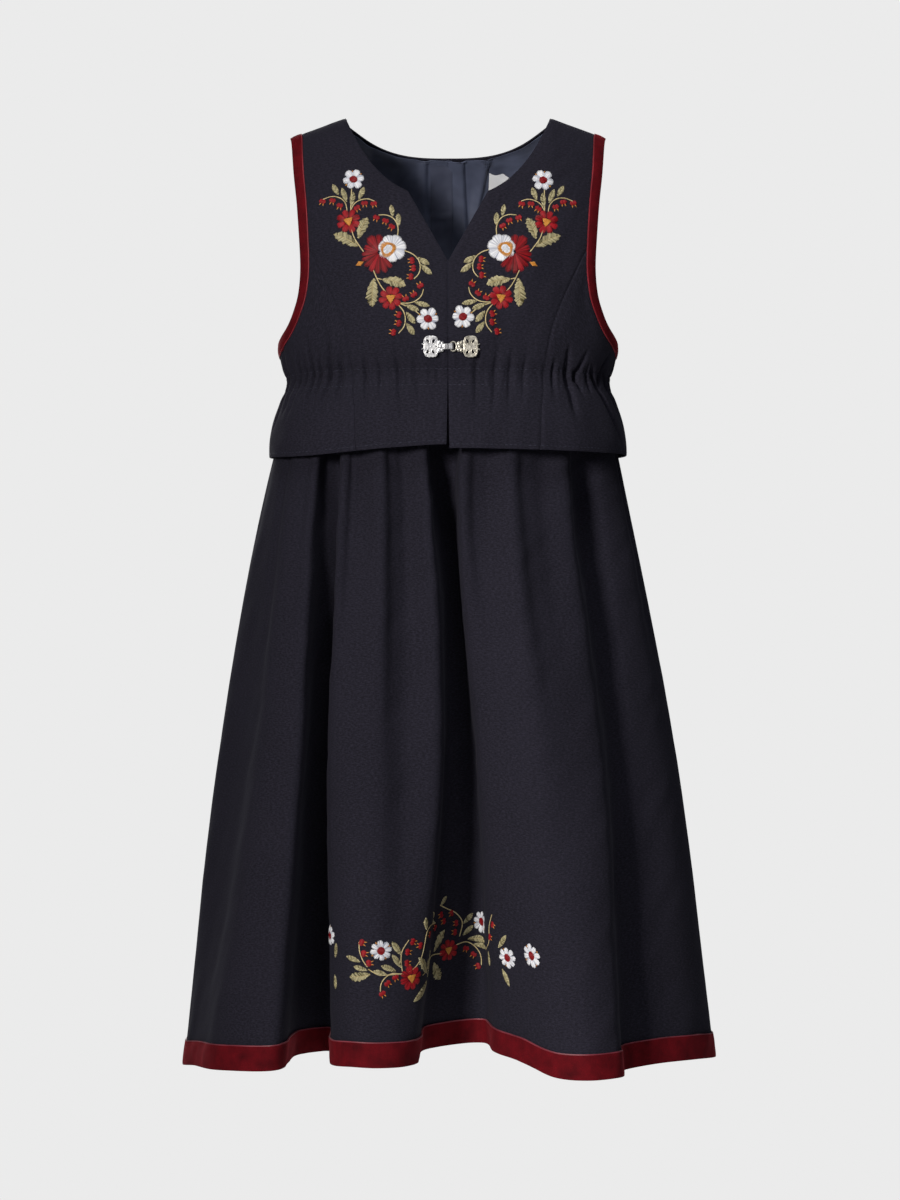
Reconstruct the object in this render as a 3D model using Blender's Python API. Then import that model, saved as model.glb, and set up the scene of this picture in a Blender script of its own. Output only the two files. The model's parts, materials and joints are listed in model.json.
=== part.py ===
"""A girl's sleeveless bunad dress: a fitted navy wool bodice with a drawn-in waist and a short peplum,
velvet-bound armholes, a silver clasp, and a gathered skirt with a velvet ribbon round its hem.

Metres, +Z up, and the front faces -Y. The dress hangs as worn, with no wearer in it. The origin lies
midway between the shoulders, level with the cloth's inner side at the neck end of the shoulder seams.
"Left" and "right" are as seen from the front.
"""

import math
from collections import namedtuple

import bmesh
import bpy
from mathutils import Matrix, Vector

MM = 0.001

# Cloth thicknesses and the gap that a seam leaves between two pieces
WOOL = 1.6 * MM
VELVET = 1.4 * MM
LINING = 1.0 * MM
SEAM = 0.3 * MM

# Heights and widths of the bodice
SHOULDER_TOP = WOOL
NECK_HALF = 83 * MM
SHOULDER_SLOPE = 0.36
NECK_V = -126 * MM
NECK_NOTCH = (31.5 * MM, -69.4 * MM)
NECK_PULL = (64 * MM, -55 * MM)
NECK_EASE = 1.6
BACK_NECK = -23 * MM
BACK_NECK_EASE = 1.4
BACK_UNDERARM = -198 * MM
ARMPIT = -184 * MM
CASING = -213.5 * MM
BINDING = 8 * MM
BINDING_PROUD = 0.4 * MM
BODY_BOX = 2.4
FRONT_ARCH = 2.2
BACK_ARCH = 3.0

# The skirt, from the seam behind the casing down to the hem
SKIRT_TOP = -209 * MM
SKIRT_WALL = 1.5 * MM
SKIRT_TUCK = 6.0 * MM
SKIRT_DROP = 543 * MM
RIBBON = 19 * MM

# The silver clasp on the centre front
CLASP_Z = -193 * MM
CLASP_PLATE = 1.2 * MM
CLASP_LIFT = 0.9 * MM
CLASP_HALF = (6.0 * MM, 8.7 * MM)
CLASP_SIDES = 40
CLASP_LOBES = 10
CLASP_LOBE_DEPTH = 0.07
CLASP_LEFT_X, CLASP_RIGHT_X = -13.2 * MM, 17.6 * MM
CLASP_NECK_LEFT, CLASP_NECK_RIGHT = -4.2 * MM, 8.8 * MM
CLASP_BEADS = ((-1.6 * MM, 3.0 * MM, 1.9 * MM), (-1.6 * MM, -3.0 * MM, 1.9 * MM), (-0.4 * MM, 0.0, 2.1 * MM))
CLASP_BEAD_DEPTH = 0.6
CLASP_RING = (2.6 * MM, 3.6 * MM)
CLASP_RING_X = 4.2 * MM
CLASP_WIRE = 0.7 * MM
HOOK_WIDTH = 3.2 * MM
HOOK_THICK = 1.0 * MM

# Buttons down the centre back
BUTTON_RADIUS = 5.5 * MM
BUTTON_THICK = 2.6 * MM
BUTTON_SEAT = 0.35 * MM
BUTTON_SIDE = 8 * MM
BUTTON_HEIGHTS = (-0.048, -0.087, -0.126, -0.165)
BUTTON_SIDES = 14
ButtonRing = namedtuple("ButtonRing", "radius rise")
BUTTON_PROFILE = [
    ButtonRing(*row)
    for row in ((0.30, 0.0), (0.32, 0.30), (1.0, 0.45), (0.92, 0.95), (0.66, 1.0), (0.52, 0.86))
]

# The body of the dress at several heights, in millimetres
BodySection = namedtuple("BodySection", "height half_width front back")
BODY = [
    BodySection(*[size * MM for size in row])
    for row in (
        (-280, 145.4, 99.0, 88.5),
        (-262, 144.8, 97.0, 86.5),
        (-246, 142.0, 92.5, 83.0),
        (-230, 136.8, 87.0, 79.0),
        (-213.5, 131.0, 81.5, 75.0),
        (-202, 134.6, 84.0, 77.0),
        (-190, 137.2, 85.5, 78.5),
        (-150, 140.0, 86.0, 79.0),
        (-90, 148.0, 86.0, 79.0),
        (10, 150.0, 86.0, 79.0),
    )
]

# The armhole's edge, from the shoulder down the front, under the arm and up the back
ArmholePoint = namedtuple("ArmholePoint", "angle height")
ARMHOLE = [
    ArmholePoint(math.radians(angle), height * MM)
    for angle, height in (
        (56.0, 0),
        (54.4, -10),
        (52.4, -38),
        (50.3, -70),
        (50.2, -102),
        (52.2, -130),
        (57.5, -154),
        (68.0, -173.5),
        (90.0, -184),
        (112.0, -173.5),
        (121.5, -154),
        (126.3, -130),
        (128.6, -102),
        (128.6, -70),
        (127.0, -38),
        (125.2, -10),
        (124.0, 0),
    )
]
ARMHOLE_JOIN = 4.2
ARMHOLE_SIDE = 8
ARMHOLE_END = 16

# The princess seam of the front, from the peplum's hem up to the armhole
SeamPoint = namedtuple("SeamPoint", "x height")
PRINCESS = [
    SeamPoint(x * MM, height * MM)
    for x, height in (
        (71.4, -272),
        (72.8, -243),
        (74.5, -216),
        (77.3, -198),
        (81.2, -178),
        (89.9, -154.5),
        (98.0, -136),
        (106.0, -118),
    )
]

# Height of the peplum's hem at the centre front, half-way to the side, at the side and at the centre back
PeplumHem = namedtuple("PeplumHem", "centre quarter side back")
PEPLUM = {
    "left": PeplumHem(-0.2695, -0.2765, -0.2745, -0.2740),
    "right": PeplumHem(-0.2725, -0.2735, -0.2730, -0.2740),
}
SLIT_HALF = 1.0 * MM

# Gathers at the casing: where each lies across its panel, its depth, half its width, and its reach both ways
Gather = namedtuple("Gather", "across depth width up down")
GATHERS = {
    "front_left": [
        Gather(0.24, 0.9 * MM, 0.07, 26 * MM, 34 * MM),
        Gather(0.43, 1.2 * MM, 0.07, 30 * MM, 40 * MM),
        Gather(0.64, 1.0 * MM, 0.06, 24 * MM, 28 * MM),
        Gather(0.82, 1.3 * MM, 0.06, 28 * MM, 36 * MM),
    ],
    "front_right": [
        Gather(0.22, 1.2 * MM, 0.06, 24 * MM, 36 * MM),
        Gather(0.41, 1.3 * MM, 0.07, 30 * MM, 42 * MM),
        Gather(0.57, 1.1 * MM, 0.06, 26 * MM, 30 * MM),
        Gather(0.74, 0.9 * MM, 0.06, 20 * MM, 26 * MM),
    ],
    "side_front_left": [
        Gather(0.11, 2.0 * MM, 0.055, 30 * MM, 34 * MM),
        Gather(0.23, 2.8 * MM, 0.055, 44 * MM, 40 * MM),
        Gather(0.34, 2.2 * MM, 0.045, 24 * MM, 30 * MM),
        Gather(0.43, 2.8 * MM, 0.045, 38 * MM, 42 * MM),
        Gather(0.53, 2.2 * MM, 0.045, 22 * MM, 26 * MM),
        Gather(0.62, 2.6 * MM, 0.045, 30 * MM, 36 * MM),
        Gather(0.73, 2.4 * MM, 0.05, 26 * MM, 32 * MM),
        Gather(0.84, 2.8 * MM, 0.05, 34 * MM, 44 * MM),
        Gather(0.94, 1.8 * MM, 0.04, 22 * MM, 26 * MM),
    ],
    "side_front_right": [
        Gather(0.18, 3.0 * MM, 0.06, 32 * MM, 46 * MM),
        Gather(0.31, 2.8 * MM, 0.06, 26 * MM, 28 * MM),
        Gather(0.43, 2.0 * MM, 0.05, 20 * MM, 24 * MM),
        Gather(0.53, 3.0 * MM, 0.05, 24 * MM, 38 * MM),
        Gather(0.64, 2.8 * MM, 0.05, 30 * MM, 48 * MM),
        Gather(0.76, 2.4 * MM, 0.05, 24 * MM, 34 * MM),
        Gather(0.89, 2.6 * MM, 0.055, 28 * MM, 40 * MM),
    ],
    "back_left": [
        Gather(0.14, 1.2 * MM, 0.055, 22 * MM, 30 * MM),
        Gather(0.28, 1.6 * MM, 0.06, 30 * MM, 38 * MM),
        Gather(0.42, 1.9 * MM, 0.055, 26 * MM, 30 * MM),
        Gather(0.55, 2.4 * MM, 0.055, 34 * MM, 42 * MM),
        Gather(0.68, 2.0 * MM, 0.05, 24 * MM, 30 * MM),
        Gather(0.80, 2.8 * MM, 0.05, 32 * MM, 40 * MM),
        Gather(0.92, 2.2 * MM, 0.045, 26 * MM, 32 * MM),
    ],
    "back_right": [
        Gather(0.12, 1.4 * MM, 0.05, 28 * MM, 34 * MM),
        Gather(0.25, 1.2 * MM, 0.055, 20 * MM, 26 * MM),
        Gather(0.39, 2.0 * MM, 0.06, 32 * MM, 42 * MM),
        Gather(0.52, 1.7 * MM, 0.05, 24 * MM, 30 * MM),
        Gather(0.65, 2.6 * MM, 0.055, 32 * MM, 40 * MM),
        Gather(0.79, 2.1 * MM, 0.05, 26 * MM, 28 * MM),
        Gather(0.92, 2.6 * MM, 0.045, 30 * MM, 38 * MM),
    ],
}

# The skirt's folds, in millimetres: where each crest and valley lies just below the peplum, half-way down
# and at the hem, and the height of the hem there. They run from the left side seam across the front and
# round the back.
SkirtFold = namedtuple("SkirtFold", "name hip_x hip_y mid_x mid_y hem_x hem_y hem_z")
FRONT_FOLDS = [
    SkirtFold("side_left", -145.5, 0, -188, 0, -215, 4, -767),
    SkirtFold("side_valley_left", -136, -30, -160, -56, -199, -54, -758),
    SkirtFold("broad_left_outer", -119, -54, -145, -90, -173, -112, -750),
    SkirtFold("broad_left_inner", -103, -65, -116, -107, -134, -134, -746),
    SkirtFold("left_valley_outer", -95, -53, -106, -64, -116, -68, -746),
    SkirtFold("left_valley_inner", -88, -51, -94, -50, -97, -50, -747),
    SkirtFold("middle_left", -81, -77, -90, -98, -84, -120, -745),
    SkirtFold("middle_dip", -70, -75, -76, -110, -72, -134, -743),
    SkirtFold("middle", -51, -87, -51, -115, -55, -139, -743),
    SkirtFold("middle_dip_right", -36, -78, -34, -105, -41, -137, -743),
    SkirtFold("middle_right", -18, -88, -14, -107, -29, -122, -744),
    SkirtFold("centre_valley_left", -6, -61, -2, -64, -17, -64, -743),
    SkirtFold("centre_valley_right", 3, -59, 11, -55, 24, -55, -740),
    SkirtFold("plateau_left", 12, -85, 21, -89, 37, -77, -742),
    SkirtFold("plateau_dip", 29, -80, 43, -103, 58, -105, -745),
    SkirtFold("plateau", 50, -87, 71, -114, 86, -134, -752),
    SkirtFold("plateau_dip_right", 73, -72, 97, -106, 107, -141, -752),
    SkirtFold("plateau_right", 92, -67, 118, -92, 128, -131, -752),
    SkirtFold("right_valley", 106, -39, 129, -58, 139, -83, -755),
    SkirtFold("right_crest", 124, -33, 151, -46, 166, -69, -753),
    SkirtFold("right_slope", 136, -19, 173, -27, 196, -44, -755),
]
BACK_FOLDS = [
    SkirtFold("side_right", 141.5, 0, 186.5, 0, 217, 0, -761),
    SkirtFold("back_crest_1", 132, 32, 171, 46, 200, 54, -762),
    SkirtFold("back_valley_1", 112, 42, 148, 52, 176, 60, -757),
    SkirtFold("back_crest_2", 98, 64, 132, 90, 151, 114, -762),
    SkirtFold("back_valley_2", 80, 55, 106, 66, 117, 80, -756),
    SkirtFold("back_crest_3", 60, 77, 82, 107, 88, 131, -762),
    SkirtFold("back_valley_3", 42, 62, 52, 74, 58, 88, -757),
    SkirtFold("back_crest_4", 21, 80, 25, 112, 26, 136, -762),
    SkirtFold("back_valley_4", 1, 65, -3, 74, -6, 84, -756),
    SkirtFold("back_crest_5", -20, 80, -31, 110, -37, 133, -762),
    SkirtFold("back_valley_5", -42, 61, -56, 74, -64, 90, -757),
    SkirtFold("back_crest_6", -62, 76, -85, 103, -95, 126, -762),
    SkirtFold("back_valley_6", -82, 54, -109, 62, -124, 70, -756),
    SkirtFold("back_crest_7", -101, 61, -137, 84, -157, 103, -763),
    SkirtFold("back_valley_7", -117, 41, -152, 50, -179, 56, -760),
    SkirtFold("back_crest_8", -135, 31, -175, 42, -203, 44, -765),
]
SKIRT_LEVELS = (0.0, 0.142, 0.567, 1.0)
HIP_HALF, HIP_FRONT, HIP_BACK = 142 * MM, 88 * MM, 80 * MM
FOLD_APART = 30 * MM

# Where the walls are cut into faces
V_ROW, NOTCH_ROW, JOIN_ROW, SIDE_ROW, BACK_NECK_ROW = 0.44, 0.68, 0.50, 0.37, 0.81
CASING_SHARE = 0.34
SIDE_ROWS = (0, 0.12, 0.24, CASING_SHARE, 0.44, 0.56, 0.72, V_ROW / JOIN_ROW, 1)
CENTRE_ROWS = (*[JOIN_ROW * row for row in SIDE_ROWS], 0.56, 0.62, NOTCH_ROW, 0.75, 0.82, 0.89, 0.95, 1)
LOW_BACK_ROWS = tuple(SIDE_ROW * row for row in (0, 0.12, 0.24, CASING_SHARE, 0.60, 1))
BACK_ROWS = (*LOW_BACK_ROWS, 0.40, 0.45, 0.52, 0.60, 0.68, 0.745, BACK_NECK_ROW, 0.89, 0.95, 1)
SKIRT_ROWS = (0, 0.06, 0.14, 0.24, 0.36, 0.50, 0.65, 0.81, 1 - RIBBON / SKIRT_DROP, 1)
FRONT_STEPS, BACK_STEPS = 3, 4

# The lining's placket and label inside the back, as shares of the back panels' width and height
BACK_COLUMNS = (0.012, 0.075, 0.19, 0.39)
LINING_ROW = 0.45
LINING_REACH = 0.96
PLACKET_LEFT, PLACKET_RIGHT = 0.075, 0.012
LABEL_COLUMNS = (0.19, 0.39)
LABEL_ROWS = (0.745, BACK_NECK_ROW)


def hermite(knots, values, at):
    """A smooth curve through values at knots, read at one place."""
    last = len(knots) - 1
    span = 0
    while span < last - 1 and at > knots[span + 1]:
        span += 1
    widths = [knots[i + 1] - knots[i] for i in range(last)]
    rates = [(values[i + 1] - values[i]) / widths[i] for i in range(last)]

    def slope(i):
        if i == 0:
            return rates[0]
        if i == last:
            return rates[-1]
        return (rates[i - 1] * widths[i] + rates[i] * widths[i - 1]) / (widths[i - 1] + widths[i])

    width = widths[span]
    f = (at - knots[span]) / width
    start, end = values[span], values[span + 1]
    rise = end - start
    a = slope(span) * width - rise
    b = rise - slope(span + 1) * width
    return start + f * rise + f * (1 - f) * ((1 - f) * a + f * b)


def body_sizes(height):
    """Half the width, and the front and back depth, of the body of the dress at a height."""
    heights = [section.height for section in BODY]
    columns = zip(*[section[1:] for section in BODY])
    return [hermite(heights, list(column), height) for column in columns]


def seam_top(x):
    """Height of the shoulder seam over a place across the dress."""
    return SHOULDER_TOP - SHOULDER_SLOPE * max(0.0, abs(x) - NECK_HALF)


def true_height(x, level):
    """Turns a level, which is 0 all along the shoulder seam, into a height."""
    if level <= ARMPIT:
        return level
    return ARMPIT + (level - ARMPIT) / -ARMPIT * (seam_top(x) - ARMPIT)


def body_field(x, y, z):
    """Zero on the body's outer face, and more than zero outside it."""
    half, front, back = body_sizes(z)
    depth, arch = (front, FRONT_ARCH) if y < 0 else (back, BACK_ARCH)
    risen = max(0.0, (z - ARMPIT) / (seam_top(x) - ARMPIT))
    return (y / depth) ** 2 - (1 - (abs(x) / half) ** BODY_BOX) * (1 - risen**arch)


def body_point(angle, level):
    """A point of the right half: angle 0 is the centre front, and half a turn is the centre back."""
    half = body_sizes(level)[0]
    x = half * max(0.0, math.sin(angle)) ** (2 / BODY_BOX)
    z = true_height(x, level)
    _, front, back = body_sizes(z)
    risen = max(0.0, (level - ARMPIT) / -ARMPIT) if level > ARMPIT else 0.0
    depth, arch = (front, FRONT_ARCH) if math.cos(angle) > 0 else (back, BACK_ARCH)
    return Vector((x, -depth * math.cos(angle) * math.sqrt(max(0.0, 1 - risen**arch)), z))


def body_normal(point):
    """The way out of the body at a point on it."""
    step = 0.05 * MM
    x, y, z = point
    if abs(y) < 2 * step:
        y = -2 * step if y < 0 else 2 * step
    out = Vector(
        (
            body_field(x + step, y, z) - body_field(x - step, y, z),
            body_field(x, y + step, z) - body_field(x, y - step, z),
            body_field(x, y, z + step) - body_field(x, y, z - step),
        )
    )
    return out.normalized()


def angle_at(x, level):
    """The angle of a place across the front, at a level."""
    share = min(1.0, abs(x) / body_sizes(level)[0])
    return math.asin(share ** (BODY_BOX / 2))


def armhole(index):
    """Angle and level of the armhole's edge. Index 0 is the shoulder seam at the front, 16 at the back."""
    knots = list(range(len(ARMHOLE)))
    angle = hermite(knots, [point.angle for point in ARMHOLE], index)
    level = hermite(knots, [point.height for point in ARMHOLE], index)
    return angle, min(0.0, level)


def inset_armhole(index, width):
    """The armhole's edge moved into the cloth by a width, such as that of the velvet binding."""
    angle, level = armhole(index)
    point = body_point(angle, level)
    turn = 0.002
    across = (body_point(angle + turn, level) - body_point(angle - turn, level)) / (2 * turn)
    if level > -14 * MM:
        away = 1 if angle < math.pi / 2 else -1
        return angle - away * width / across.length, level
    drop = 0.2 * MM
    down = (body_point(angle, level + drop) - body_point(angle, level - drop)) / (2 * drop)
    before, after = (body_point(*armhole(index + shift)) for shift in (-0.05, 0.05))
    inward = (after - before).normalized().cross(body_normal(point)) * width
    aa, ad, dd = across.dot(across), across.dot(down), down.dot(down)
    ai, di = across.dot(inward), down.dot(inward)
    scale = aa * dd - ad * ad
    return angle + (ai * dd - di * ad) / scale, level + (di * aa - ai * ad) / scale


def armhole_seam(index):
    """Where the panels end and the velvet binding begins."""
    return inset_armhole(index, BINDING)


def peplum_hem(side, angle):
    """Height of the peplum's hem at an angle."""
    hem = PEPLUM[side]
    return hermite([0, math.pi / 4, math.pi / 2, math.pi], list(hem), angle)


def past_casing(bottom, top, share, casing_share):
    """A level between two others, which passes the casing at a given share."""
    if share <= casing_share:
        return bottom + share / casing_share * (CASING - bottom)
    return CASING + (share - casing_share) / (1 - casing_share) * (top - CASING)


def princess(side, share):
    """Angle and level of the princess seam, from the peplum's hem up to the armhole."""
    join_angle, join_level = armhole_seam(ARMHOLE_JOIN)
    angles = [angle_at(point.x, point.height) for point in PRINCESS] + [join_angle]
    heights = [point.height for point in PRINCESS] + [join_level]
    heights[0] = peplum_hem(side, angles[0])
    level = past_casing(heights[0], join_level, share, CASING_SHARE)
    return hermite(heights, angles, level), level


def centre_edge(side, share):
    """Angle and level of the front's inner edge: up the centre front, then round the neckline."""
    bottom = peplum_hem(side, 0)
    if share <= V_ROW:
        level = past_casing(bottom, NECK_V, share / V_ROW, CASING_SHARE * JOIN_ROW / V_ROW)
        x = SLIT_HALF * max(0.0, CASING - level) / (CASING - bottom)
        return angle_at(x, level), level
    if share <= NOTCH_ROW:
        f = (share - V_ROW) / (NOTCH_ROW - V_ROW)
        x, level = f * NECK_NOTCH[0], NECK_V + f * (NECK_NOTCH[1] - NECK_V)
        return angle_at(x, level), level
    f = 1 - (1 - (share - NOTCH_ROW) / (1 - NOTCH_ROW)) ** NECK_EASE
    x = (1 - f) ** 2 * NECK_NOTCH[0] + 2 * f * (1 - f) * NECK_PULL[0] + f * f * NECK_HALF
    level = (1 - f) ** 2 * NECK_NOTCH[1] + 2 * f * (1 - f) * NECK_PULL[1]
    return angle_at(x, level), level


def centre_outer(side, share):
    """The front's outer edge: up the princess seam, then up the armhole to the shoulder."""
    if share <= JOIN_ROW:
        return princess(side, share / JOIN_ROW)
    return armhole_seam(ARMHOLE_JOIN * (1 - share) / (1 - JOIN_ROW))


def side_line(side, share):
    """The side seam, from the peplum's hem up to the armhole."""
    bottom, top = peplum_hem(side, math.pi / 2), armhole_seam(ARMHOLE_SIDE)[1]
    return math.pi / 2, past_casing(bottom, top, share, CASING_SHARE)


def back_inner(side, share):
    """The back's inner edge: up the centre back, then round the back neckline."""
    bottom = peplum_hem(side, math.pi)
    if share <= SIDE_ROW:
        return math.pi, past_casing(bottom, BACK_UNDERARM, share / SIDE_ROW, CASING_SHARE)
    if share <= BACK_NECK_ROW:
        climbed = (share - SIDE_ROW) / (BACK_NECK_ROW - SIDE_ROW)
        return math.pi, BACK_UNDERARM + climbed * (BACK_NECK - BACK_UNDERARM)
    f = 1 - (1 - (share - BACK_NECK_ROW) / (1 - BACK_NECK_ROW)) ** BACK_NECK_EASE
    level = BACK_NECK * (1 - f**3)
    return math.pi - angle_at(f * NECK_HALF, level), level


def back_outer(side, share):
    """The back's outer edge: up the side seam, then up the armhole to the shoulder."""
    if share <= SIDE_ROW:
        return side_line(side, share / SIDE_ROW)
    return armhole_seam(ARMHOLE_SIDE + (ARMHOLE_END - ARMHOLE_SIDE) * (share - SIDE_ROW) / (1 - SIDE_ROW))


def shoulder(start, end):
    """A straight run along the shoulder seam between two angles."""
    return lambda share: (start[0] + share * (end[0] - start[0]), 0.0)


def patch(bottom, top, inner, outer):
    """Fills four edges, given as functions of a share, with a smooth sheet of angles and levels."""
    corners = [inner(0), outer(0), inner(1), outer(1)]

    def at(across, up):
        edges = (bottom(across), top(across), inner(up), outer(up))
        return tuple(
            (1 - up) * edges[0][i]
            + up * edges[1][i]
            + (1 - across) * edges[2][i]
            + across * edges[3][i]
            - (1 - up) * ((1 - across) * corners[0][i] + across * corners[1][i])
            - up * ((1 - across) * corners[2][i] + across * corners[3][i])
            for i in (0, 1)
        )

    return at


def hem_run(side, start, end):
    """The peplum's hem between two angles."""

    def at(share):
        angle = start + share * (end - start)
        return angle, peplum_hem(side, angle)

    return at


def front_patch(side):
    """The centre front panel of one side."""
    start, end = centre_edge(side, 0)[0], centre_outer(side, 0)[0]
    top = shoulder(centre_edge(side, 1), centre_outer(side, 1))
    hem = hem_run(side, start, end)
    return patch(hem, top, lambda up: centre_edge(side, up), lambda up: centre_outer(side, up))


def side_front_patch(side):
    """The side front panel of one side, between the princess seam, the side seam and the armhole."""

    def inner(up):
        angle, level = princess(side, up)
        return angle + SEAM / body_sizes(level)[0], level

    def top(across):
        return armhole_seam(ARMHOLE_JOIN + across * (ARMHOLE_SIDE - ARMHOLE_JOIN))

    return patch(hem_run(side, inner(0)[0], math.pi / 2), top, inner, lambda up: side_line(side, up))


def back_patch(side):
    """The back panel of one side."""
    top = shoulder(back_inner(side, 1), back_outer(side, 1))
    hem = hem_run(side, math.pi, math.pi / 2)
    return patch(hem, top, lambda up: back_inner(side, up), lambda up: back_outer(side, up))


def gather_depth(gathers, across, height):
    """How far the gathers at the casing sink the cloth at a place on its panel."""
    sunk = 0.0
    for gather in gathers:
        reach = gather.up if height > CASING else gather.down
        fade = max(0.0, 1 - abs(height - CASING) / reach)
        bell = math.exp(-(((across - gather.across) / gather.width) ** 2))
        sunk += gather.depth * bell * fade * fade * (3 - 2 * fade)
    return sunk


def columns_for(gathers, plain):
    """Places across a panel: each gather's trough, the crests between them, and some plain ones."""
    troughs = [gather.across for gather in gathers]
    crests = [(a + b) / 2 for a, b in zip(troughs, troughs[1:])]
    before = [troughs[0] / 2]
    after = [(troughs[-1] + 1) / 2]
    return sorted({0.0, 1.0, *troughs, *crests, *before, *after, *plain})


def panel_grid(panel, gathers, columns, rows, side, is_front):
    """Points and normals of a panel, row by row, moved half a seam from the dress's middle lines."""
    sign = 1 if side == "right" else -1
    points, normals = [], []
    for up in rows:
        line, outs = [], []
        for across in columns:
            angle, level = panel(across, up)
            point = body_point(angle, level)
            out = body_normal(point)
            point = point - out * gather_depth(gathers, across, point.z)
            point.x += SEAM / 2
            point.y += -SEAM / 2 if is_front else SEAM / 2
            line.append(Vector((sign * point.x, point.y, point.z)))
            outs.append(Vector((sign * out.x, out.y, out.z)))
        points.append(line)
        normals.append(outs)
    return points, normals


def moved(points, normals, distance):
    """Every point moved out along its normal."""
    return [[p + n * distance for p, n in zip(line, outs)] for line, outs in zip(points, normals)]


def make_material(name, colour, roughness, metallic=0.0):
    """A plain material: its colour is a hex value."""
    material = bpy.data.materials.new(name)
    material.use_nodes = True
    shader = material.node_tree.nodes["Principled BSDF"]
    channels = [int(colour[i : i + 2], 16) / 255 for i in (1, 3, 5)]
    linear = [c / 12.92 if c <= 0.04045 else ((c + 0.055) / 1.055) ** 2.4 for c in channels]
    shader.inputs["Base Color"].default_value = (*linear, 1)
    shader.inputs["Roughness"].default_value = roughness
    shader.inputs["Metallic"].default_value = metallic
    return material


def add_object(name, mesh, material):
    """Puts a mesh in the scene as one piece of the dress, shaded smooth with sharp rims."""
    mesh.materials.append(material)
    mesh.shade_smooth()
    mesh.set_sharp_from_angle(angle=math.radians(50))
    piece = bpy.data.objects.new(name, mesh)
    bpy.context.scene.collection.objects.link(piece)
    return piece


def as_object(name, form, material):
    """Turns a bmesh into a piece, with its faces pointing out."""
    bmesh.ops.recalc_face_normals(form, faces=form.faces)
    if form.calc_volume(signed=True) < 0:
        bmesh.ops.reverse_faces(form, faces=form.faces)
    mesh = bpy.data.meshes.new(name)
    form.to_mesh(mesh)
    form.free()
    return add_object(name, mesh, material)


def wall(name, outer, inner, material, closed=False, turned=0):
    """A cloth wall between an outer and an inner grid of points.

    A closed wall runs right round. Each four-sided cell is cut into two triangles, and the cells before the
    column called turned are cut along their other diagonal, so that a layer that runs over a mirrored pair of
    panels has the same facets as they have.
    """
    shell = bmesh.new()
    rows, count = len(outer), len(outer[0])
    out, back = [[[shell.verts.new(p) for p in line] for line in grid] for grid in (outer, inner)]

    def cell(a, b, c, d, other=False):
        for corners in ((a, b, d), (b, c, d)) if other else ((a, b, c), (a, c, d)):
            shell.faces.new(corners)

    for column in range(count if closed else count - 1):
        beside = (column + 1) % count
        for row in range(rows - 1):
            for grid in (out, back):
                low, high = grid[row], grid[row + 1]
                cell(low[column], low[beside], high[beside], high[column], column < turned)
        for row in (0, rows - 1):
            cell(out[row][column], out[row][beside], back[row][beside], back[row][column])
    if not closed:
        for row in range(rows - 1):
            for column in (0, count - 1):
                cell(out[row][column], out[row + 1][column], back[row + 1][column], back[row][column])
    return as_object(name, shell, material)


def build_bodice(wool):
    """The six wool panels of the bodice with its peplum."""
    plans = (
        ("front", front_patch, CENTRE_ROWS, (0.06, 0.94), True),
        ("side_front", side_front_patch, SIDE_ROWS, (), True),
        ("back", back_patch, BACK_ROWS, BACK_COLUMNS, False),
    )
    for part, make_patch, rows, plain, is_front in plans:
        for side in ("left", "right"):
            name = f"{part}_{side}"
            gathers = GATHERS[name]
            columns = columns_for(gathers, plain)
            points, normals = panel_grid(make_patch(side), gathers, columns, rows, side, is_front)
            wall(name, points, moved(points, normals, -WOOL), wool)


def binding_stops():
    """Places round the armhole where the panels beside the binding have their points."""
    front = [ARMHOLE_JOIN * (1 - up) / (1 - JOIN_ROW) for up in CENTRE_ROWS if up >= JOIN_ROW]
    back = [
        ARMHOLE_SIDE + (ARMHOLE_END - ARMHOLE_SIDE) * (up - SIDE_ROW) / (1 - SIDE_ROW)
        for up in BACK_ROWS
        if up >= SIDE_ROW
    ]
    return sorted(front)[1:], sorted(back)


def build_bindings(velvet):
    """The velvet round each armhole, a band that carries the panels on to their edge."""
    front, back = binding_stops()
    for side, sign in (("left", -1), ("right", 1)):
        shares = columns_for(GATHERS[f"side_front_{side}"], ())[1:-1]
        under = [ARMHOLE_JOIN + share * (ARMHOLE_SIDE - ARMHOLE_JOIN) for share in shares]
        grid, outs = [], []
        for inset in (BINDING - SEAM, BINDING / 2, 0.0):
            line, normals = [], []
            for stop in [0.0, *front, *under, *back[:-1]]:
                angle, level = inset_armhole(stop, inset) if inset else armhole(stop)
                point = body_point(angle, level)
                out = body_normal(point)
                line.append(Vector((sign * (point.x + SEAM / 2), point.y, point.z)))
                normals.append(Vector((sign * out.x, out.y, out.z)))
            grid.append(line)
            outs.append(normals)
        proud, inner = moved(grid, outs, BINDING_PROUD), moved(grid, outs, -WOOL)
        wall(f"armhole_binding_{side}", proud, inner, velvet, closed=True)


def back_grid(side, reach, rows):
    """Points and normals of a back panel, from the centre back out to one of its columns."""
    gathers = GATHERS[f"back_{side}"]
    columns = [across for across in columns_for(gathers, BACK_COLUMNS) if across <= reach]
    return panel_grid(back_patch(side), gathers, columns, rows, side, False)


def back_span(left_reach, right_reach, rows):
    """Points and normals right across the centre back, and the number of columns on the left of it."""
    left, right = back_grid("left", left_reach, rows), back_grid("right", right_reach, rows)
    grids = []
    for left_grid, right_grid in zip(left, right):
        lines = []
        for left_line, right_line in zip(left_grid, right_grid):
            middle = (left_line[0] + right_line[0]) / 2
            lines.append(left_line[:0:-1] + [middle] + right_line[1:])
        grids.append(lines)
    return *grids, len(left[0][0]) - 1


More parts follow.
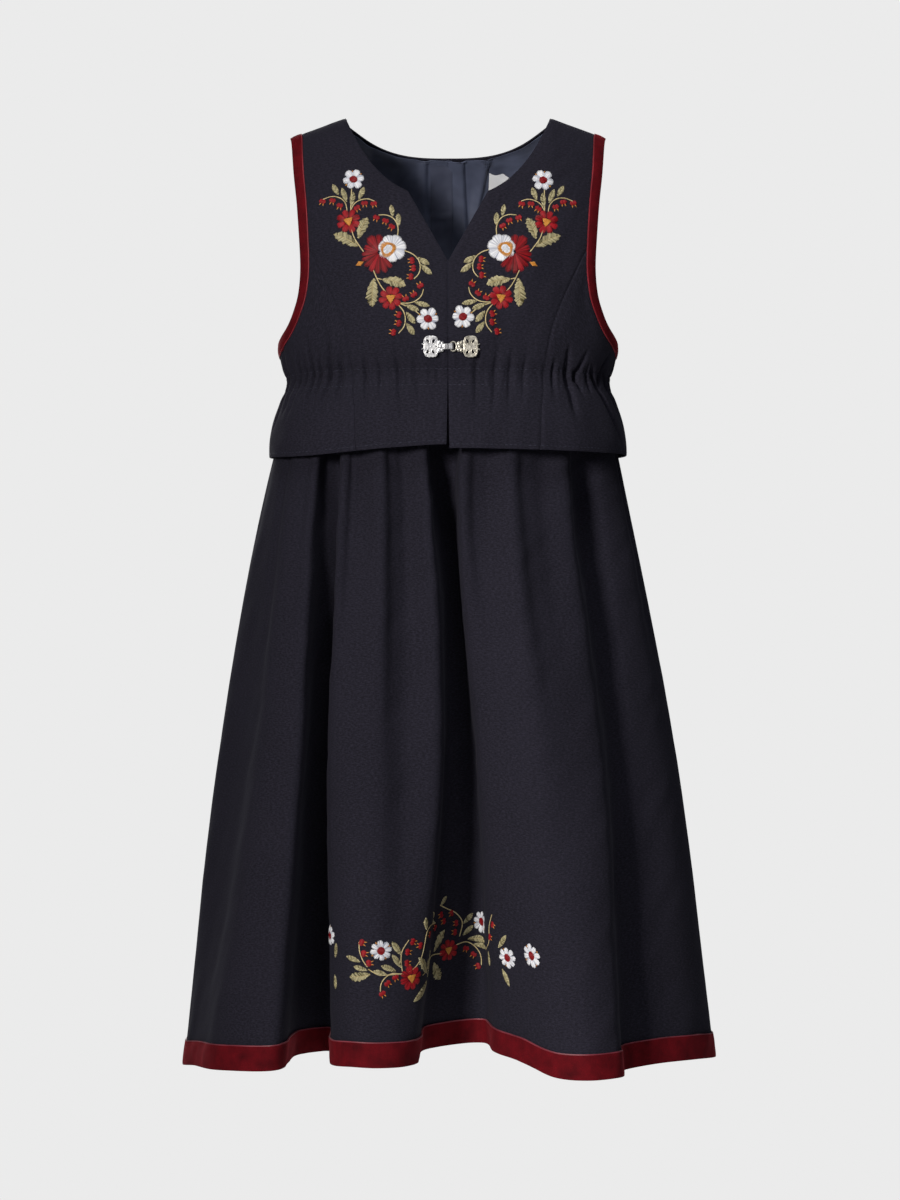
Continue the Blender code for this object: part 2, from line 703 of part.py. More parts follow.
def build_lining(satin, webbing):
    """The lining that shows inside the back neck, the placket down its middle, and a plain white label."""
    rows = [row for row in BACK_ROWS if row >= LINING_ROW]
    depth = WOOL + SEAM
    for side in ("left", "right"):
        points, normals = back_grid(side, LINING_REACH, rows)
        inner = moved(points, normals, -depth - LINING)
        wall(f"lining_{side}", moved(points, normals, -depth), inner, satin)
    depth += LINING + SEAM
    below_neck = [row for row in rows if row <= BACK_NECK_ROW]
    points, normals, turned = back_span(PLACKET_LEFT, PLACKET_RIGHT, below_neck)
    inner = moved(points, normals, -depth - LINING)
    wall("placket_back", moved(points, normals, -depth), inner, satin, turned=turned)
    label_rows = [row for row in rows if LABEL_ROWS[0] <= row <= LABEL_ROWS[1]]
    grids = back_grid("right", LABEL_COLUMNS[1], label_rows)
    first = len(back_grid("right", LABEL_COLUMNS[0], label_rows)[0][0]) - 1
    points, normals = ([line[first:] for line in grid] for grid in grids)
    wall("neck_label", moved(points, normals, -depth), moved(points, normals, -depth - LINING), webbing)


def front_at(x, z, out):
    """A point on the front of the bodice, moved forward by a distance."""
    half, front, _ = body_sizes(z)
    risen = max(0.0, (z - ARMPIT) / (seam_top(x) - ARMPIT))
    depth = front * math.sqrt((1 - (abs(x) / half) ** BODY_BOX) * (1 - risen**FRONT_ARCH))
    return Vector((x, -depth - out, z))


def plate_outline():
    """The lobed edge of half a clasp, as points about its middle."""
    wide, tall = CLASP_HALF
    edge = []
    for i in range(CLASP_SIDES):
        turn = 2 * math.pi * i / CLASP_SIDES
        lobe = 1 + CLASP_LOBE_DEPTH * math.cos(CLASP_LOBES * turn)
        edge.append((wide * lobe * math.cos(turn), tall * lobe * math.sin(turn)))
    return edge


def joined(piece, parts):
    """Joins parts to a piece, as one body."""
    for part in parts:
        part.hide_render = True
        part.display_type = "WIRE"
        union = piece.modifiers.new(part.name, "BOOLEAN")
        union.operation = "UNION"
        union.solver = "EXACT"
        union.object = part
    return piece


def clasp_plate(name, x, silver):
    """The lobed plate of one half of the clasp, standing just off the wool."""
    form = bmesh.new()
    rims = []
    for out in (CLASP_LIFT, CLASP_LIFT + CLASP_PLATE):
        middle = front_at(x, CLASP_Z, out)
        rims.append([form.verts.new(middle + Vector((dx, 0, dz))) for dx, dz in plate_outline()])
    for rim in rims:
        form.faces.new(rim)
    for i in range(CLASP_SIDES):
        beside = (i + 1) % CLASP_SIDES
        form.faces.new((rims[0][i], rims[0][beside], rims[1][beside], rims[1][i]))
    return as_object(name, form, silver)


def bead(name, x, z, radius, silver):
    """A round bead that lies half in the plane of the clasp's plates."""
    form = bmesh.new()
    place = front_at(0, CLASP_Z, CLASP_LIFT + CLASP_PLATE / 2) + Vector((x, 0, z - CLASP_Z))
    size = Matrix.Diagonal((1, CLASP_BEAD_DEPTH, 1, 1))
    bmesh.ops.create_uvsphere(
        form, u_segments=10, v_segments=6, radius=radius, matrix=Matrix.Translation(place) @ size
    )
    return as_object(name, form, silver)


def clasp_ring(silver):
    """The loop of wire on the right half, which the hook goes through."""
    form = bmesh.new()
    middle = front_at(0, CLASP_Z, CLASP_LIFT + CLASP_WIRE) + Vector((CLASP_RING_X, 0, 0))
    wide, tall = CLASP_RING
    turns, sides = 18, 6
    loops = []
    for i in range(turns):
        turn = 2 * math.pi * i / turns
        away = Vector((math.cos(turn), 0, math.sin(turn)))
        centre = middle + Vector((wide * away.x, 0, tall * away.z))
        loop = []
        for j in range(sides):
            roll = 2 * math.pi * j / sides
            offset = away * math.cos(roll) + Vector((0, math.sin(roll), 0))
            loop.append(form.verts.new(centre + CLASP_WIRE * offset))
        loops.append(loop)
    for i in range(turns):
        for j in range(sides):
            a, b = loops[i], loops[(i + 1) % turns]
            form.faces.new((a[j], a[(j + 1) % sides], b[(j + 1) % sides], b[j]))
    return as_object("clasp_ring", form, silver)


def clasp_hook(silver):
    """The tongue of the left half, which passes over the ring's wire and turns down inside it."""
    form = bmesh.new()
    start = front_at(0, CLASP_Z, CLASP_LIFT + CLASP_PLATE / 2)
    over = 2 * CLASP_WIRE - CLASP_PLATE / 2 + 2 * SEAM + HOOK_THICK
    wire_x = CLASP_RING_X - CLASP_RING[0]
    route = (
        (CLASP_NECK_LEFT, 0.0),
        (wire_x - 2.4 * MM, 0.25 * over),
        (wire_x - 1.1 * MM, over),
        (wire_x + 0.8 * MM, over),
        (wire_x + 2.0 * MM, 0.65 * over),
        (wire_x + 2.3 * MM, 0.2 * over),
    )
    half_width, half_thick = HOOK_WIDTH / 2, HOOK_THICK / 2
    loops = []
    for i, (x, out) in enumerate(route):
        before, after = route[max(0, i - 1)], route[min(len(route) - 1, i + 1)]
        way = Vector((after[0] - before[0], -(after[1] - before[1]), 0)).normalized()
        side = Vector((-way.y, way.x, 0)) * half_thick
        centre = Vector((x, start.y - out, CLASP_Z))
        up = Vector((0, 0, half_width))
        corners = (side + up, side - up, -side - up, -side + up)
        loops.append([form.verts.new(centre + corner) for corner in corners])
    for a, b in zip(loops, loops[1:]):
        for j in range(4):
            form.faces.new((a[j], a[(j + 1) % 4], b[(j + 1) % 4], b[j]))
    form.faces.new(loops[0])
    form.faces.new(loops[-1])
    return as_object("clasp_hook", form, silver)


def build_clasp(silver):
    """The two halves of the silver clasp, hooked together at the centre front."""
    left = clasp_plate("clasp_left", CLASP_LEFT_X, silver)
    right = clasp_plate("clasp_right", CLASP_RIGHT_X, silver)
    left_beads = [
        bead(f"left_bead_{i}", CLASP_NECK_LEFT - 1.2 * MM + dx, CLASP_Z + dz, radius, silver)
        for i, (dx, dz, radius) in enumerate(CLASP_BEADS)
    ]
    right_beads = [
        bead(f"right_bead_{i}", CLASP_NECK_RIGHT - dx, CLASP_Z + dz, radius, silver)
        for i, (dx, dz, radius) in enumerate(CLASP_BEADS)
    ]
    joined(left, left_beads + [clasp_hook(silver)])
    joined(right, right_beads + [clasp_ring(silver)])


def build_buttons(horn):
    """The plain buttons that close the left back over the right back."""
    for number, height in enumerate(BUTTON_HEIGHTS, 1):
        seat = body_point(math.pi - angle_at(BUTTON_SIDE, height), height)
        seat = Vector((-seat.x, seat.y + SEAM / 2, seat.z))
        out = body_normal(seat)
        form = bmesh.new()
        rings = []
        for ring in BUTTON_PROFILE:
            turns = [2 * math.pi * i / BUTTON_SIDES for i in range(BUTTON_SIDES)]
            radius, rise = ring.radius * BUTTON_RADIUS, BUTTON_SEAT + ring.rise * BUTTON_THICK
            spots = [(radius * math.cos(turn), radius * math.sin(turn), rise) for turn in turns]
            rings.append([form.verts.new(spot) for spot in spots])
        for a, b in zip(rings, rings[1:]):
            for i in range(BUTTON_SIDES):
                beside = (i + 1) % BUTTON_SIDES
                form.faces.new((a[i], a[beside], b[beside], b[i]))
        form.faces.new(rings[0])
        form.faces.new(rings[-1])
        button = as_object(f"button_{number}", form, horn)
        button.location = seat
        button.rotation_mode = "QUATERNION"
        button.rotation_quaternion = out.to_track_quat("Z", "Y")


def skirt_point(around, down):
    """A point of the skirt's outer face. Around counts the folds, and down runs from 0 to 1 at the hem."""
    folds = FRONT_FOLDS + BACK_FOLDS
    count = len(folds)

    def crest(index):
        fold = folds[index % count]
        depth = HIP_FRONT if fold.hip_y <= 0 else HIP_BACK
        turn = math.atan2(abs(fold.hip_x) * MM / HIP_HALF, -fold.hip_y * MM / depth)
        seam = body_point(turn, SKIRT_TOP)
        seam -= body_normal(seam) * (WOOL + SKIRT_TUCK)
        x = (math.copysign(seam.x, fold.hip_x), fold.hip_x * MM, fold.mid_x * MM, fold.hem_x * MM)
        y = (seam.y, fold.hip_y * MM, fold.mid_y * MM, fold.hem_y * MM)
        z = SKIRT_TOP + down * (fold.hem_z * MM - SKIRT_TOP)
        return Vector((hermite(SKIRT_LEVELS, x, down), hermite(SKIRT_LEVELS, y, down), z))

    span = math.floor(around)
    f = around - span
    before, start, end, after = (crest(span + shift) for shift in (-1, 0, 1, 2))
    first, middle, last = (start - before).length, (end - start).length, (after - end).length
    leave = ((start - before) / first * middle + (end - start) / middle * first) / (first + middle)
    reach = ((end - start) / middle * last + (after - end) / last * middle) / (middle + last)
    rise = end - start
    a = leave * middle - rise
    b = rise - reach * middle
    return start + f * rise + f * (1 - f) * ((1 - f) * a + f * b)


def skirt_normal(around, down):
    """The way out of the skirt's cloth."""
    step, drop = 0.02, 0.004
    along = skirt_point(around + step, down) - skirt_point(around - step, down)
    low, high = min(1.0, down + drop), max(0.0, down - drop)
    fall = skirt_point(around, low) - skirt_point(around, high)
    return fall.cross(along).normalized()


def skirt_grid(start, end, steps, rows):
    """Points and normals of a skirt panel between two side seams, with some steps from fold to fold."""
    seam_share = SEAM / 2 / FOLD_APART
    stops = [start + seam_share]
    stops += [start + i / steps for i in range(1, (end - start) * steps)]
    stops.append(end - seam_share)
    points = [[skirt_point(stop, row) for stop in stops] for row in rows]
    normals = [[skirt_normal(stop, row) for stop in stops] for row in rows]
    return points, normals


def build_skirt(wool, velvet):
    """The skirt's front and back, and the velvet ribbon that lies round the hem of each."""
    front_end = len(FRONT_FOLDS)
    back_end = front_end + len(BACK_FOLDS)
    runs = (("front", 0, front_end, FRONT_STEPS), ("back", front_end, back_end, BACK_STEPS))
    for part, start, end, steps in runs:
        points, normals = skirt_grid(start, end, steps, SKIRT_ROWS)
        wall(f"skirt_{part}", points, moved(points, normals, -SKIRT_WALL), wool)
        hem, outs = points[-2:], normals[-2:]
        wall(f"hem_ribbon_{part}", moved(hem, outs, SEAM + VELVET), moved(hem, outs, SEAM), velvet)


def clear_scene():
    """Starts from an empty scene."""
    for piece in list(bpy.data.objects):
        bpy.data.objects.remove(piece)


def main():
    """Builds every piece of the dress."""
    clear_scene()
    wool = make_material("navy wool", "#23242F", 0.9)
    velvet = make_material("wine velvet", "#5E0F16", 0.7)
    satin = make_material("navy lining", "#2A2E3C", 0.45)
    webbing = make_material("white label tape", "#E4E4E2", 0.7)
    silver = make_material("silver", "#D9D8D2", 0.3, 1.0)
    horn = make_material("dark horn buttons", "#2B2A33", 0.35)
    build_bodice(wool)
    build_bindings(velvet)
    build_lining(satin, webbing)
    build_skirt(wool, velvet)
    build_clasp(silver)
    build_buttons(horn)


main()
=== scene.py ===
"""Looks of a child's sleeveless bunad dress: navy wool twill, wine velvet, satin lining, silver and floss.

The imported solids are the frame. Each cloth piece is made again here as a fine shell on its solid's form,
with the creases, seams and stitches that the solids leave out, and the embroidery is sewn on top.
Metres, +Z up, and the front faces -Y. "Left" and "right" are as seen from the front.
"""

from __future__ import annotations

import json
import logging
import math
from dataclasses import dataclass, field, replace
from enum import Enum
from functools import partial
from typing import Callable, Sequence

import bpy
import numpy as np
from mathutils.bvhtree import BVHTree
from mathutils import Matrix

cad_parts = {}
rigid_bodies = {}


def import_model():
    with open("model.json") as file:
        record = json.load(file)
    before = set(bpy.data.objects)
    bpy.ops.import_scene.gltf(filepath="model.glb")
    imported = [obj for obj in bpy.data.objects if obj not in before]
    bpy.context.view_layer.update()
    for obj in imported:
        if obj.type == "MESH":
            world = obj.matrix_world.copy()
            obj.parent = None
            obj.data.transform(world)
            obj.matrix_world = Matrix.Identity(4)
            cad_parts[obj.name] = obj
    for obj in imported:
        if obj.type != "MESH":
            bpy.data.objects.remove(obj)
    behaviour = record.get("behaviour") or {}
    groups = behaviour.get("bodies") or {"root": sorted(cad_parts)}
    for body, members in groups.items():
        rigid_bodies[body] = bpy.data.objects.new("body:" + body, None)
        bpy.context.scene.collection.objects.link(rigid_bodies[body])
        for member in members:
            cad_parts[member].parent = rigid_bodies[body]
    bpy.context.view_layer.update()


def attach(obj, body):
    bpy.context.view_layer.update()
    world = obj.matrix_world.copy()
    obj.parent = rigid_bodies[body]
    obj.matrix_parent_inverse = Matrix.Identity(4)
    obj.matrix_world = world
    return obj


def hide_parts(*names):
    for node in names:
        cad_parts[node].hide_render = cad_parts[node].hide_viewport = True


MM = 0.001
NARROWEST_CUT = 10 * MM
FACES_ASKED = 40
CLOTH_EDGE = math.radians(55)
CAMERA_PLACE = (0.0016, -1.9, -0.39)
LOG = logging.getLogger("bunad")

Array = np.ndarray
Material = bpy.types.Material
Piece = bpy.types.Object
Socket = bpy.types.NodeSocket
Pair = tuple[Array, Array]
Spot = tuple[float, float]
Place = tuple[float, float, float]
Edge = Callable[[Array], Pair]


class Side(Enum):
    """The two halves of the dress, as seen from the front."""

    LEFT = "left"
    RIGHT = "right"

    @property
    def sign(self) -> int:
        """Which way this half lies along X."""
        return -1 if self is Side.LEFT else 1


class Run(Enum):
    """The two halves of the skirt."""

    FRONT = "front"
    BACK = "back"


def through(knots: Sequence[float], values: Sequence[float], at: Array | float) -> Array:
    """Reads a smooth curve through values at knots.

    Args:
        knots: rising places along the curve.
        values: the curve's value at each knot.
        at: the places to read.

    Returns:
        The curve's values there.
    """
    stops, levels, places = (np.asarray(x, float) for x in (knots, values, at))
    widths = np.diff(stops)
    rates = np.diff(levels) / widths
    slopes = np.empty_like(levels)
    slopes[0], slopes[-1] = rates[0], rates[-1]
    slopes[1:-1] = (rates[:-1] * widths[1:] + rates[1:] * widths[:-1]) / (widths[:-1] + widths[1:])
    span = np.clip(np.searchsorted(stops, places, side="left") - 1, 0, len(widths) - 1)
    width = widths[span]
    f = (places - stops[span]) / width
    rise = levels[span + 1] - levels[span]
    leave = slopes[span] * width - rise
    reach = rise - slopes[span + 1] * width
    return levels[span] + f * rise + f * (1 - f) * ((1 - f) * leave + f * reach)


def unit(vectors: Array) -> Array:
    """Vectors brought to length one."""
    return vectors / np.maximum(np.linalg.norm(vectors, axis=-1, keepdims=True), 1e-12)


def bell(distance: Array, width: float) -> Array:
    """One at no distance, falling smoothly to nothing past about twice a width."""
    return np.exp(-((distance / width) ** 2))


def eased(share: Array) -> Array:
    """A smooth step from 0 to 1."""
    clipped = np.clip(share, 0, 1)
    return clipped * clipped * (3 - 2 * clipped)


def spaced(length: float, pitch: float, close: Sequence[float] = ()) -> Array:
    """Shares of a length at an even pitch, with closer stops beside both ends.

    Args:
        length: the length that is divided.
        pitch: the distance between stops.
        close: distances from each end that get a stop of their own.

    Returns:
        Rising shares from 0 to 1.
    """
    near = [distance / length for distance in close]
    first = near[-1] if near else 0.0
    count = max(2, round(length * (1 - 2 * first) / pitch) + 1)
    middle = np.linspace(first, 1 - first, count)
    ends = [0.0, *near[:-1]] if near else []
    return np.array([*ends, *middle, *[1 - share for share in reversed(ends)]])


def waves(x: Array, y: Array, size: float, seed: int, count: int = 7) -> Array:
    """Soft uneven undulation, made of a few slanted waves.

    Args:
        x: places one way, in metres.
        y: places the other way.
        size: the typical distance from crest to crest.
        seed: which undulation of many.
        count: how many waves are added up.

    Returns:
        Heights between about -1 and 1.
    """
    dice = np.random.default_rng(seed)
    total = np.zeros(np.broadcast(x, y).shape)
    for _ in range(count):
        turn, shift = dice.uniform(0, 2 * math.pi, 2)
        pitch = size * dice.uniform(0.6, 1.7)
        total += np.sin(2 * math.pi * (x * math.cos(turn) + y * math.sin(turn)) / pitch + shift)
    return total / math.sqrt(count) / 1.3


# The form of the dress, with the sizes of its solids


@dataclass(frozen=True)
class BodySection:
    """Half the width and both depths of the dress at one height, in millimetres."""

    height: float
    half_width: float
    front: float
    back: float


@dataclass(frozen=True)
class DressBody:
    """The round form that the bodice's panels lie on."""

    sections: tuple[BodySection, ...] = (
        BodySection(-280, 145.4, 99.0, 88.5),
        BodySection(-262, 144.8, 97.0, 86.5),
        BodySection(-246, 142.0, 92.5, 83.0),
        BodySection(-230, 136.8, 87.0, 79.0),
        BodySection(-213.5, 131.0, 81.5, 75.0),
        BodySection(-202, 134.6, 84.0, 77.0),
        BodySection(-190, 137.2, 85.5, 78.5),
        BodySection(-150, 140.0, 86.0, 79.0),
        BodySection(-90, 148.0, 86.0, 79.0),
        BodySection(10, 150.0, 86.0, 79.0),
    )
    box: float = 2.4
    front_arch: float = 2.2
    back_arch: float = 3.0
    shoulder_top: float = 1.6 * MM
    neck_half: float = 83 * MM
    shoulder_slope: float = 0.36
    armpit: float = -184 * MM

    def sizes(self, height: Array | float) -> tuple[Array, Array, Array]:
        """Half the width, and the front and back depth, at some heights."""
        heights = [section.height * MM for section in self.sections]
        columns = ("half_width", "front", "back")
        read = [[getattr(section, column) * MM for section in self.sections] for column in columns]
        return tuple(through(heights, column, height) for column in read)

    def seam_top(self, x: Array) -> Array:
        """Height of the shoulder seam over places across the dress."""
        return self.shoulder_top - self.shoulder_slope * np.maximum(0, np.abs(x) - self.neck_half)

    def risen(self, x: Array, z: Array) -> Array:
        """How far a place is on its way from the armpit up to the shoulder seam."""
        return np.clip((z - self.armpit) / (self.seam_top(x) - self.armpit), 0, 1)

    def field(self, points: Array) -> Array:
        """Zero on the outer face and more than zero outside it."""
        x, y, z = points[..., 0], points[..., 1], points[..., 2]
        half, front, back = self.sizes(z)
        depth = np.where(y < 0, front, back)
        arch = np.where(y < 0, self.front_arch, self.back_arch)
        rim = 1 - (np.abs(x) / half) ** self.box
        return (y / depth) ** 2 - rim * (1 - self.risen(x, z) ** arch)

    def point(self, angle: Array, level: Array) -> Array:
        """Points of the right half: angle 0 is the centre front and half a turn the centre back."""
        angle, level = np.broadcast_arrays(np.asarray(angle, float), np.asarray(level, float))
        half = self.sizes(level)[0]
        x = half * np.maximum(0, np.sin(angle)) ** (2 / self.box)
        rise = (level - self.armpit) / -self.armpit
        z = np.where(level > self.armpit, self.armpit + rise * (self.seam_top(x) - self.armpit), level)
        _, front, back = self.sizes(z)
        is_front = np.cos(angle) > 0
        arch = np.where(is_front, self.front_arch, self.back_arch)
        closing = np.sqrt(np.maximum(0, 1 - np.clip(rise, 0, 1) ** arch))
        y = -np.where(is_front, front, back) * np.cos(angle) * closing
        return np.stack((x, y, z), axis=-1)

    def normal(self, points: Array) -> Array:
        """The way out of the form at points on it."""
        step = 0.05 * MM
        seat = points.copy()
        flat = np.abs(seat[..., 1]) < 2 * step
        seat[..., 1] = np.where(flat, np.where(seat[..., 1] < 0, -2 * step, 2 * step), seat[..., 1])
        slopes = []
        for axis in range(3):
            shift = np.zeros(3)
            shift[axis] = step
            slopes.append(self.field(seat + shift) - self.field(seat - shift))
        return unit(np.stack(slopes, axis=-1))

    def angle_at(self, x: Array | float, level: Array | float) -> Array:
        """The angle of a place across the front, at a level."""
        share = np.minimum(1.0, np.abs(x) / self.sizes(level)[0])
        return np.arcsin(share ** (self.box / 2))

    def front_at(self, x: Array, z: Array) -> Array:
        """Points on the front over places across and up it."""
        half, front, _ = self.sizes(z)
        rim = 1 - (np.abs(x) / half) ** self.box
        y = -front * np.sqrt(np.maximum(0, rim * (1 - self.risen(x, z) ** self.front_arch)))
        return np.stack(np.broadcast_arrays(x, y, z), axis=-1)


@dataclass(frozen=True)
class Peplum:
    """Height of the peplum's hem at the centre front, half-way to the side, at the side and at the back."""

    centre: float
    quarter: float
    side: float
    back: float

    def at(self, angle: Array) -> Array:
        """Height of the hem at some angles."""
        heights = (self.centre, self.quarter, self.side, self.back)
        return through((0, math.pi / 4, math.pi / 2, math.pi), heights, angle)


@dataclass(frozen=True)
class Pattern:
    """The cut of the bodice: its seams as angles and levels on the form."""

    body: DressBody = DressBody()
    seam: float = 0.3 * MM
    wool: float = 1.6 * MM
    casing: float = -213.5 * MM
    neck_v: float = -126 * MM
    notch: Spot = (31.5 * MM, -69.4 * MM)
    neck_pull: Spot = (64 * MM, -55 * MM)
    neck_ease: float = 1.6
    back_neck: float = -23 * MM
    back_neck_ease: float = 1.4
    back_underarm: float = -198 * MM
    binding: float = 8 * MM
    straight_above: float = -14 * MM
    slit_half: float = 1.0 * MM
    join: float = 4.2
    side_stop: int = 8
    end_stop: int = 16
    v_row: float = 0.44
    notch_row: float = 0.68
    join_row: float = 0.50
    side_row: float = 0.37
    back_neck_row: float = 0.81
    casing_share: float = 0.34
    armhole_angles: tuple[float, ...] = (
        56.0, 54.4, 52.4, 50.3, 50.2, 52.2, 57.5, 68.0, 90.0,
        112.0, 121.5, 126.3, 128.6, 128.6, 127.0, 125.2, 124.0,
    )
    armhole_levels: tuple[float, ...] = (
        0, -10, -38, -70, -102, -130, -154, -173.5, -184,
        -173.5, -154, -130, -102, -70, -38, -10, 0,
    )
    princess_x: tuple[float, ...] = (71.4, 72.8, 74.5, 77.3, 81.2, 89.9, 98.0, 106.0)
    princess_levels: tuple[float, ...] = (-272, -243, -216, -198, -178, -154.5, -136, -118)
    peplums: tuple[Peplum, Peplum] = (
        Peplum(-0.2695, -0.2765, -0.2745, -0.2740),
        Peplum(-0.2725, -0.2735, -0.2730, -0.2740),
    )

    def peplum(self, side: Side) -> Peplum:
        """The hem of one side's peplum."""
        return self.peplums[0 if side is Side.LEFT else 1]

    def armhole(self, stop: Array) -> Pair:
        """Angle and level of the armhole's edge: stop 0 is the shoulder at the front, 16 at the back."""
        knots = range(len(self.armhole_angles))
        angle = through(knots, np.radians(self.armhole_angles), stop)
        level = through(knots, [height * MM for height in self.armhole_levels], stop)
        return angle, np.minimum(0.0, level)

    def inset_armhole(self, stop: Array, width: float) -> Pair:
        """The armhole's edge moved into the cloth by a width."""
        angle, level = self.armhole(stop)
        point, turn, drop, along = self.body.point, 0.002, 0.2 * MM, 0.05
        across = (point(angle + turn, level) - point(angle - turn, level)) / (2 * turn)
        down = (point(angle, level + drop) - point(angle, level - drop)) / (2 * drop)
        way = unit(point(*self.armhole(stop + along)) - point(*self.armhole(stop - along)))
        inward = np.cross(way, self.body.normal(point(angle, level))) * width
        aa, ad, dd = ((p * q).sum(-1) for p, q in ((across, across), (across, down), (down, down)))
        ai, di = (across * inward).sum(-1), (down * inward).sum(-1)
        scale = aa * dd - ad * ad
        away = np.where(angle < math.pi / 2, 1, -1)
        high = level > self.straight_above
        turned = np.where(high, angle - away * width / np.sqrt(aa), angle + (ai * dd - di * ad) / scale)
        return turned, np.where(high, level, level + (di * aa - ai * ad) / scale)

    def armhole_seam(self, stop: Array) -> Pair:
        """Where the panels end and the velvet begins."""
        return self.inset_armhole(np.asarray(stop, float), self.binding)

    def past_casing(self, bottom: Array, top: Array, share: Array, casing_share: float) -> Array:
        """Levels between two others, which pass the casing at a given share."""
        low = bottom + share / casing_share * (self.casing - bottom)
        high = self.casing + (share - casing_share) / (1 - casing_share) * (top - self.casing)
        return np.where(share <= casing_share, low, high)

    def princess(self, side: Side, share: Array) -> Pair:
        """The princess seam, from the peplum's hem up to the armhole."""
        join_angle, join_level = self.armhole_seam(self.join)
        levels = [level * MM for level in self.princess_levels]
        angles = [self.body.angle_at(x * MM, level) for x, level in zip(self.princess_x, levels)]
        levels[0] = self.peplum(side).at(angles[0])
        levels, angles = [*levels, join_level], [*angles, join_angle]
        level = self.past_casing(levels[0], join_level, share, self.casing_share)
        return through(levels, angles, level), level

    def centre_edge(self, side: Side, share: Array) -> Pair:
        """The front's inner edge: up the centre front, then round the neckline."""
        share = np.asarray(share, float)
        bottom = self.peplum(side).at(0.0)
        casing_share = self.casing_share * self.join_row / self.v_row
        low = self.past_casing(bottom, self.neck_v, share / self.v_row, casing_share)
        low_x = self.slit_half * np.maximum(0, self.casing - low) / (self.casing - bottom)
        f = (share - self.v_row) / (self.notch_row - self.v_row)
        slant_x, slant = f * self.notch[0], self.neck_v + f * (self.notch[1] - self.neck_v)
        f = np.clip((share - self.notch_row) / (1 - self.notch_row), 0, 1)
        f = 1 - (1 - f) ** self.neck_ease
        start, pull = (1 - f) ** 2, 2 * f * (1 - f)
        round_x = start * self.notch[0] + pull * self.neck_pull[0] + f * f * self.body.neck_half
        rounding = start * self.notch[1] + pull * self.neck_pull[1]
        bands = [share <= self.v_row, share <= self.notch_row]
        x = np.select(bands, [low_x, slant_x], round_x)
        level = np.select(bands, [low, slant], rounding)
        return self.body.angle_at(x, level), level

    def centre_outer(self, side: Side, share: Array) -> Pair:
        """The front's outer edge: up the princess seam, then up the armhole."""
        share = np.asarray(share, float)
        low = self.princess(side, np.minimum(share / self.join_row, 1))
        high = self.armhole_seam(self.join * np.minimum(1, (1 - share) / (1 - self.join_row)))
        return tuple(np.where(share <= self.join_row, a, b) for a, b in zip(low, high))

    def side_line(self, side: Side, share: Array) -> Pair:
        """The side seam, from the peplum's hem up to the armhole."""
        share = np.asarray(share, float)
        bottom, top = self.peplum(side).at(math.pi / 2), self.armhole_seam(self.side_stop)[1]
        level = self.past_casing(bottom, top, share, self.casing_share)
        return np.full(share.shape, math.pi / 2), level

    def back_inner(self, side: Side, share: Array) -> Pair:
        """The back's inner edge: up the centre back, then round the back neckline."""
        share = np.asarray(share, float)
        bottom = self.peplum(side).at(math.pi)
        low = self.past_casing(bottom, self.back_underarm, share / self.side_row, self.casing_share)
        climbed = (share - self.side_row) / (self.back_neck_row - self.side_row)
        middle = self.back_underarm + climbed * (self.back_neck - self.back_underarm)
        f = np.clip((share - self.back_neck_row) / (1 - self.back_neck_row), 0, 1)
        f = 1 - (1 - f) ** self.back_neck_ease
        high = self.back_neck * (1 - f**3)
        bands = [share <= self.side_row, share <= self.back_neck_row]
        level = np.select(bands, [low, middle], high)
        x = np.where(share <= self.back_neck_row, 0.0, f * self.body.neck_half)
        return math.pi - self.body.angle_at(x, level), level

    def back_outer(self, side: Side, share: Array) -> Pair:
        """The back's outer edge: up the side seam, then up the armhole."""
        share = np.asarray(share, float)
        low = self.side_line(side, np.minimum(share / self.side_row, 1))
        climbed = np.maximum(0, share - self.side_row) / (1 - self.side_row)
        high = self.armhole_seam(self.side_stop + (self.end_stop - self.side_stop) * climbed)
        return tuple(np.where(share <= self.side_row, a, b) for a, b in zip(low, high))

    def hem_run(self, side: Side, start: float, end: float) -> Edge:
        """The peplum's hem between two angles."""

        def at(share: Array) -> Pair:
            angle = start + share * (end - start)
            return angle, self.peplum(side).at(angle)

        return at

    def armhole_run(self, start: float, end: float) -> Edge:
        """The armhole's seam between two of its stops."""
        return lambda share: self.armhole_seam(start + share * (end - start))

    def shoulder_run(self, start: float, end: float) -> Edge:
        """The shoulder seam between two angles."""
        return lambda share: (start + share * (end - start), np.zeros_like(share))

    def side_inner(self, side: Side, share: Array) -> Pair:
        """The side front's inner edge, a seam's width beside the princess seam."""
        angle, level = self.princess(side, share)
        return angle + self.seam / self.body.sizes(level)[0], level

    def edges(self, part: "Part", side: Side) -> tuple[Edge, Edge, Edge, Edge]:
        """Bottom, top, inner and outer edge of a panel."""
        inner, outer = {
            Part.FRONT: (self.centre_edge, self.centre_outer),
            Part.SIDE_FRONT: (self.side_inner, self.side_line),
            Part.BACK: (self.back_inner, self.back_outer),
        }[part]
        inner, outer = partial(inner, side), partial(outer, side)
        low, high = ([float(edge(np.array(end))[0]) for edge in (inner, outer)] for end in (0.0, 1.0))
        side_front = part is Part.SIDE_FRONT
        top = self.armhole_run(self.join, self.side_stop) if side_front else self.shoulder_run(*high)
        return self.hem_run(side, *low), top, inner, outer

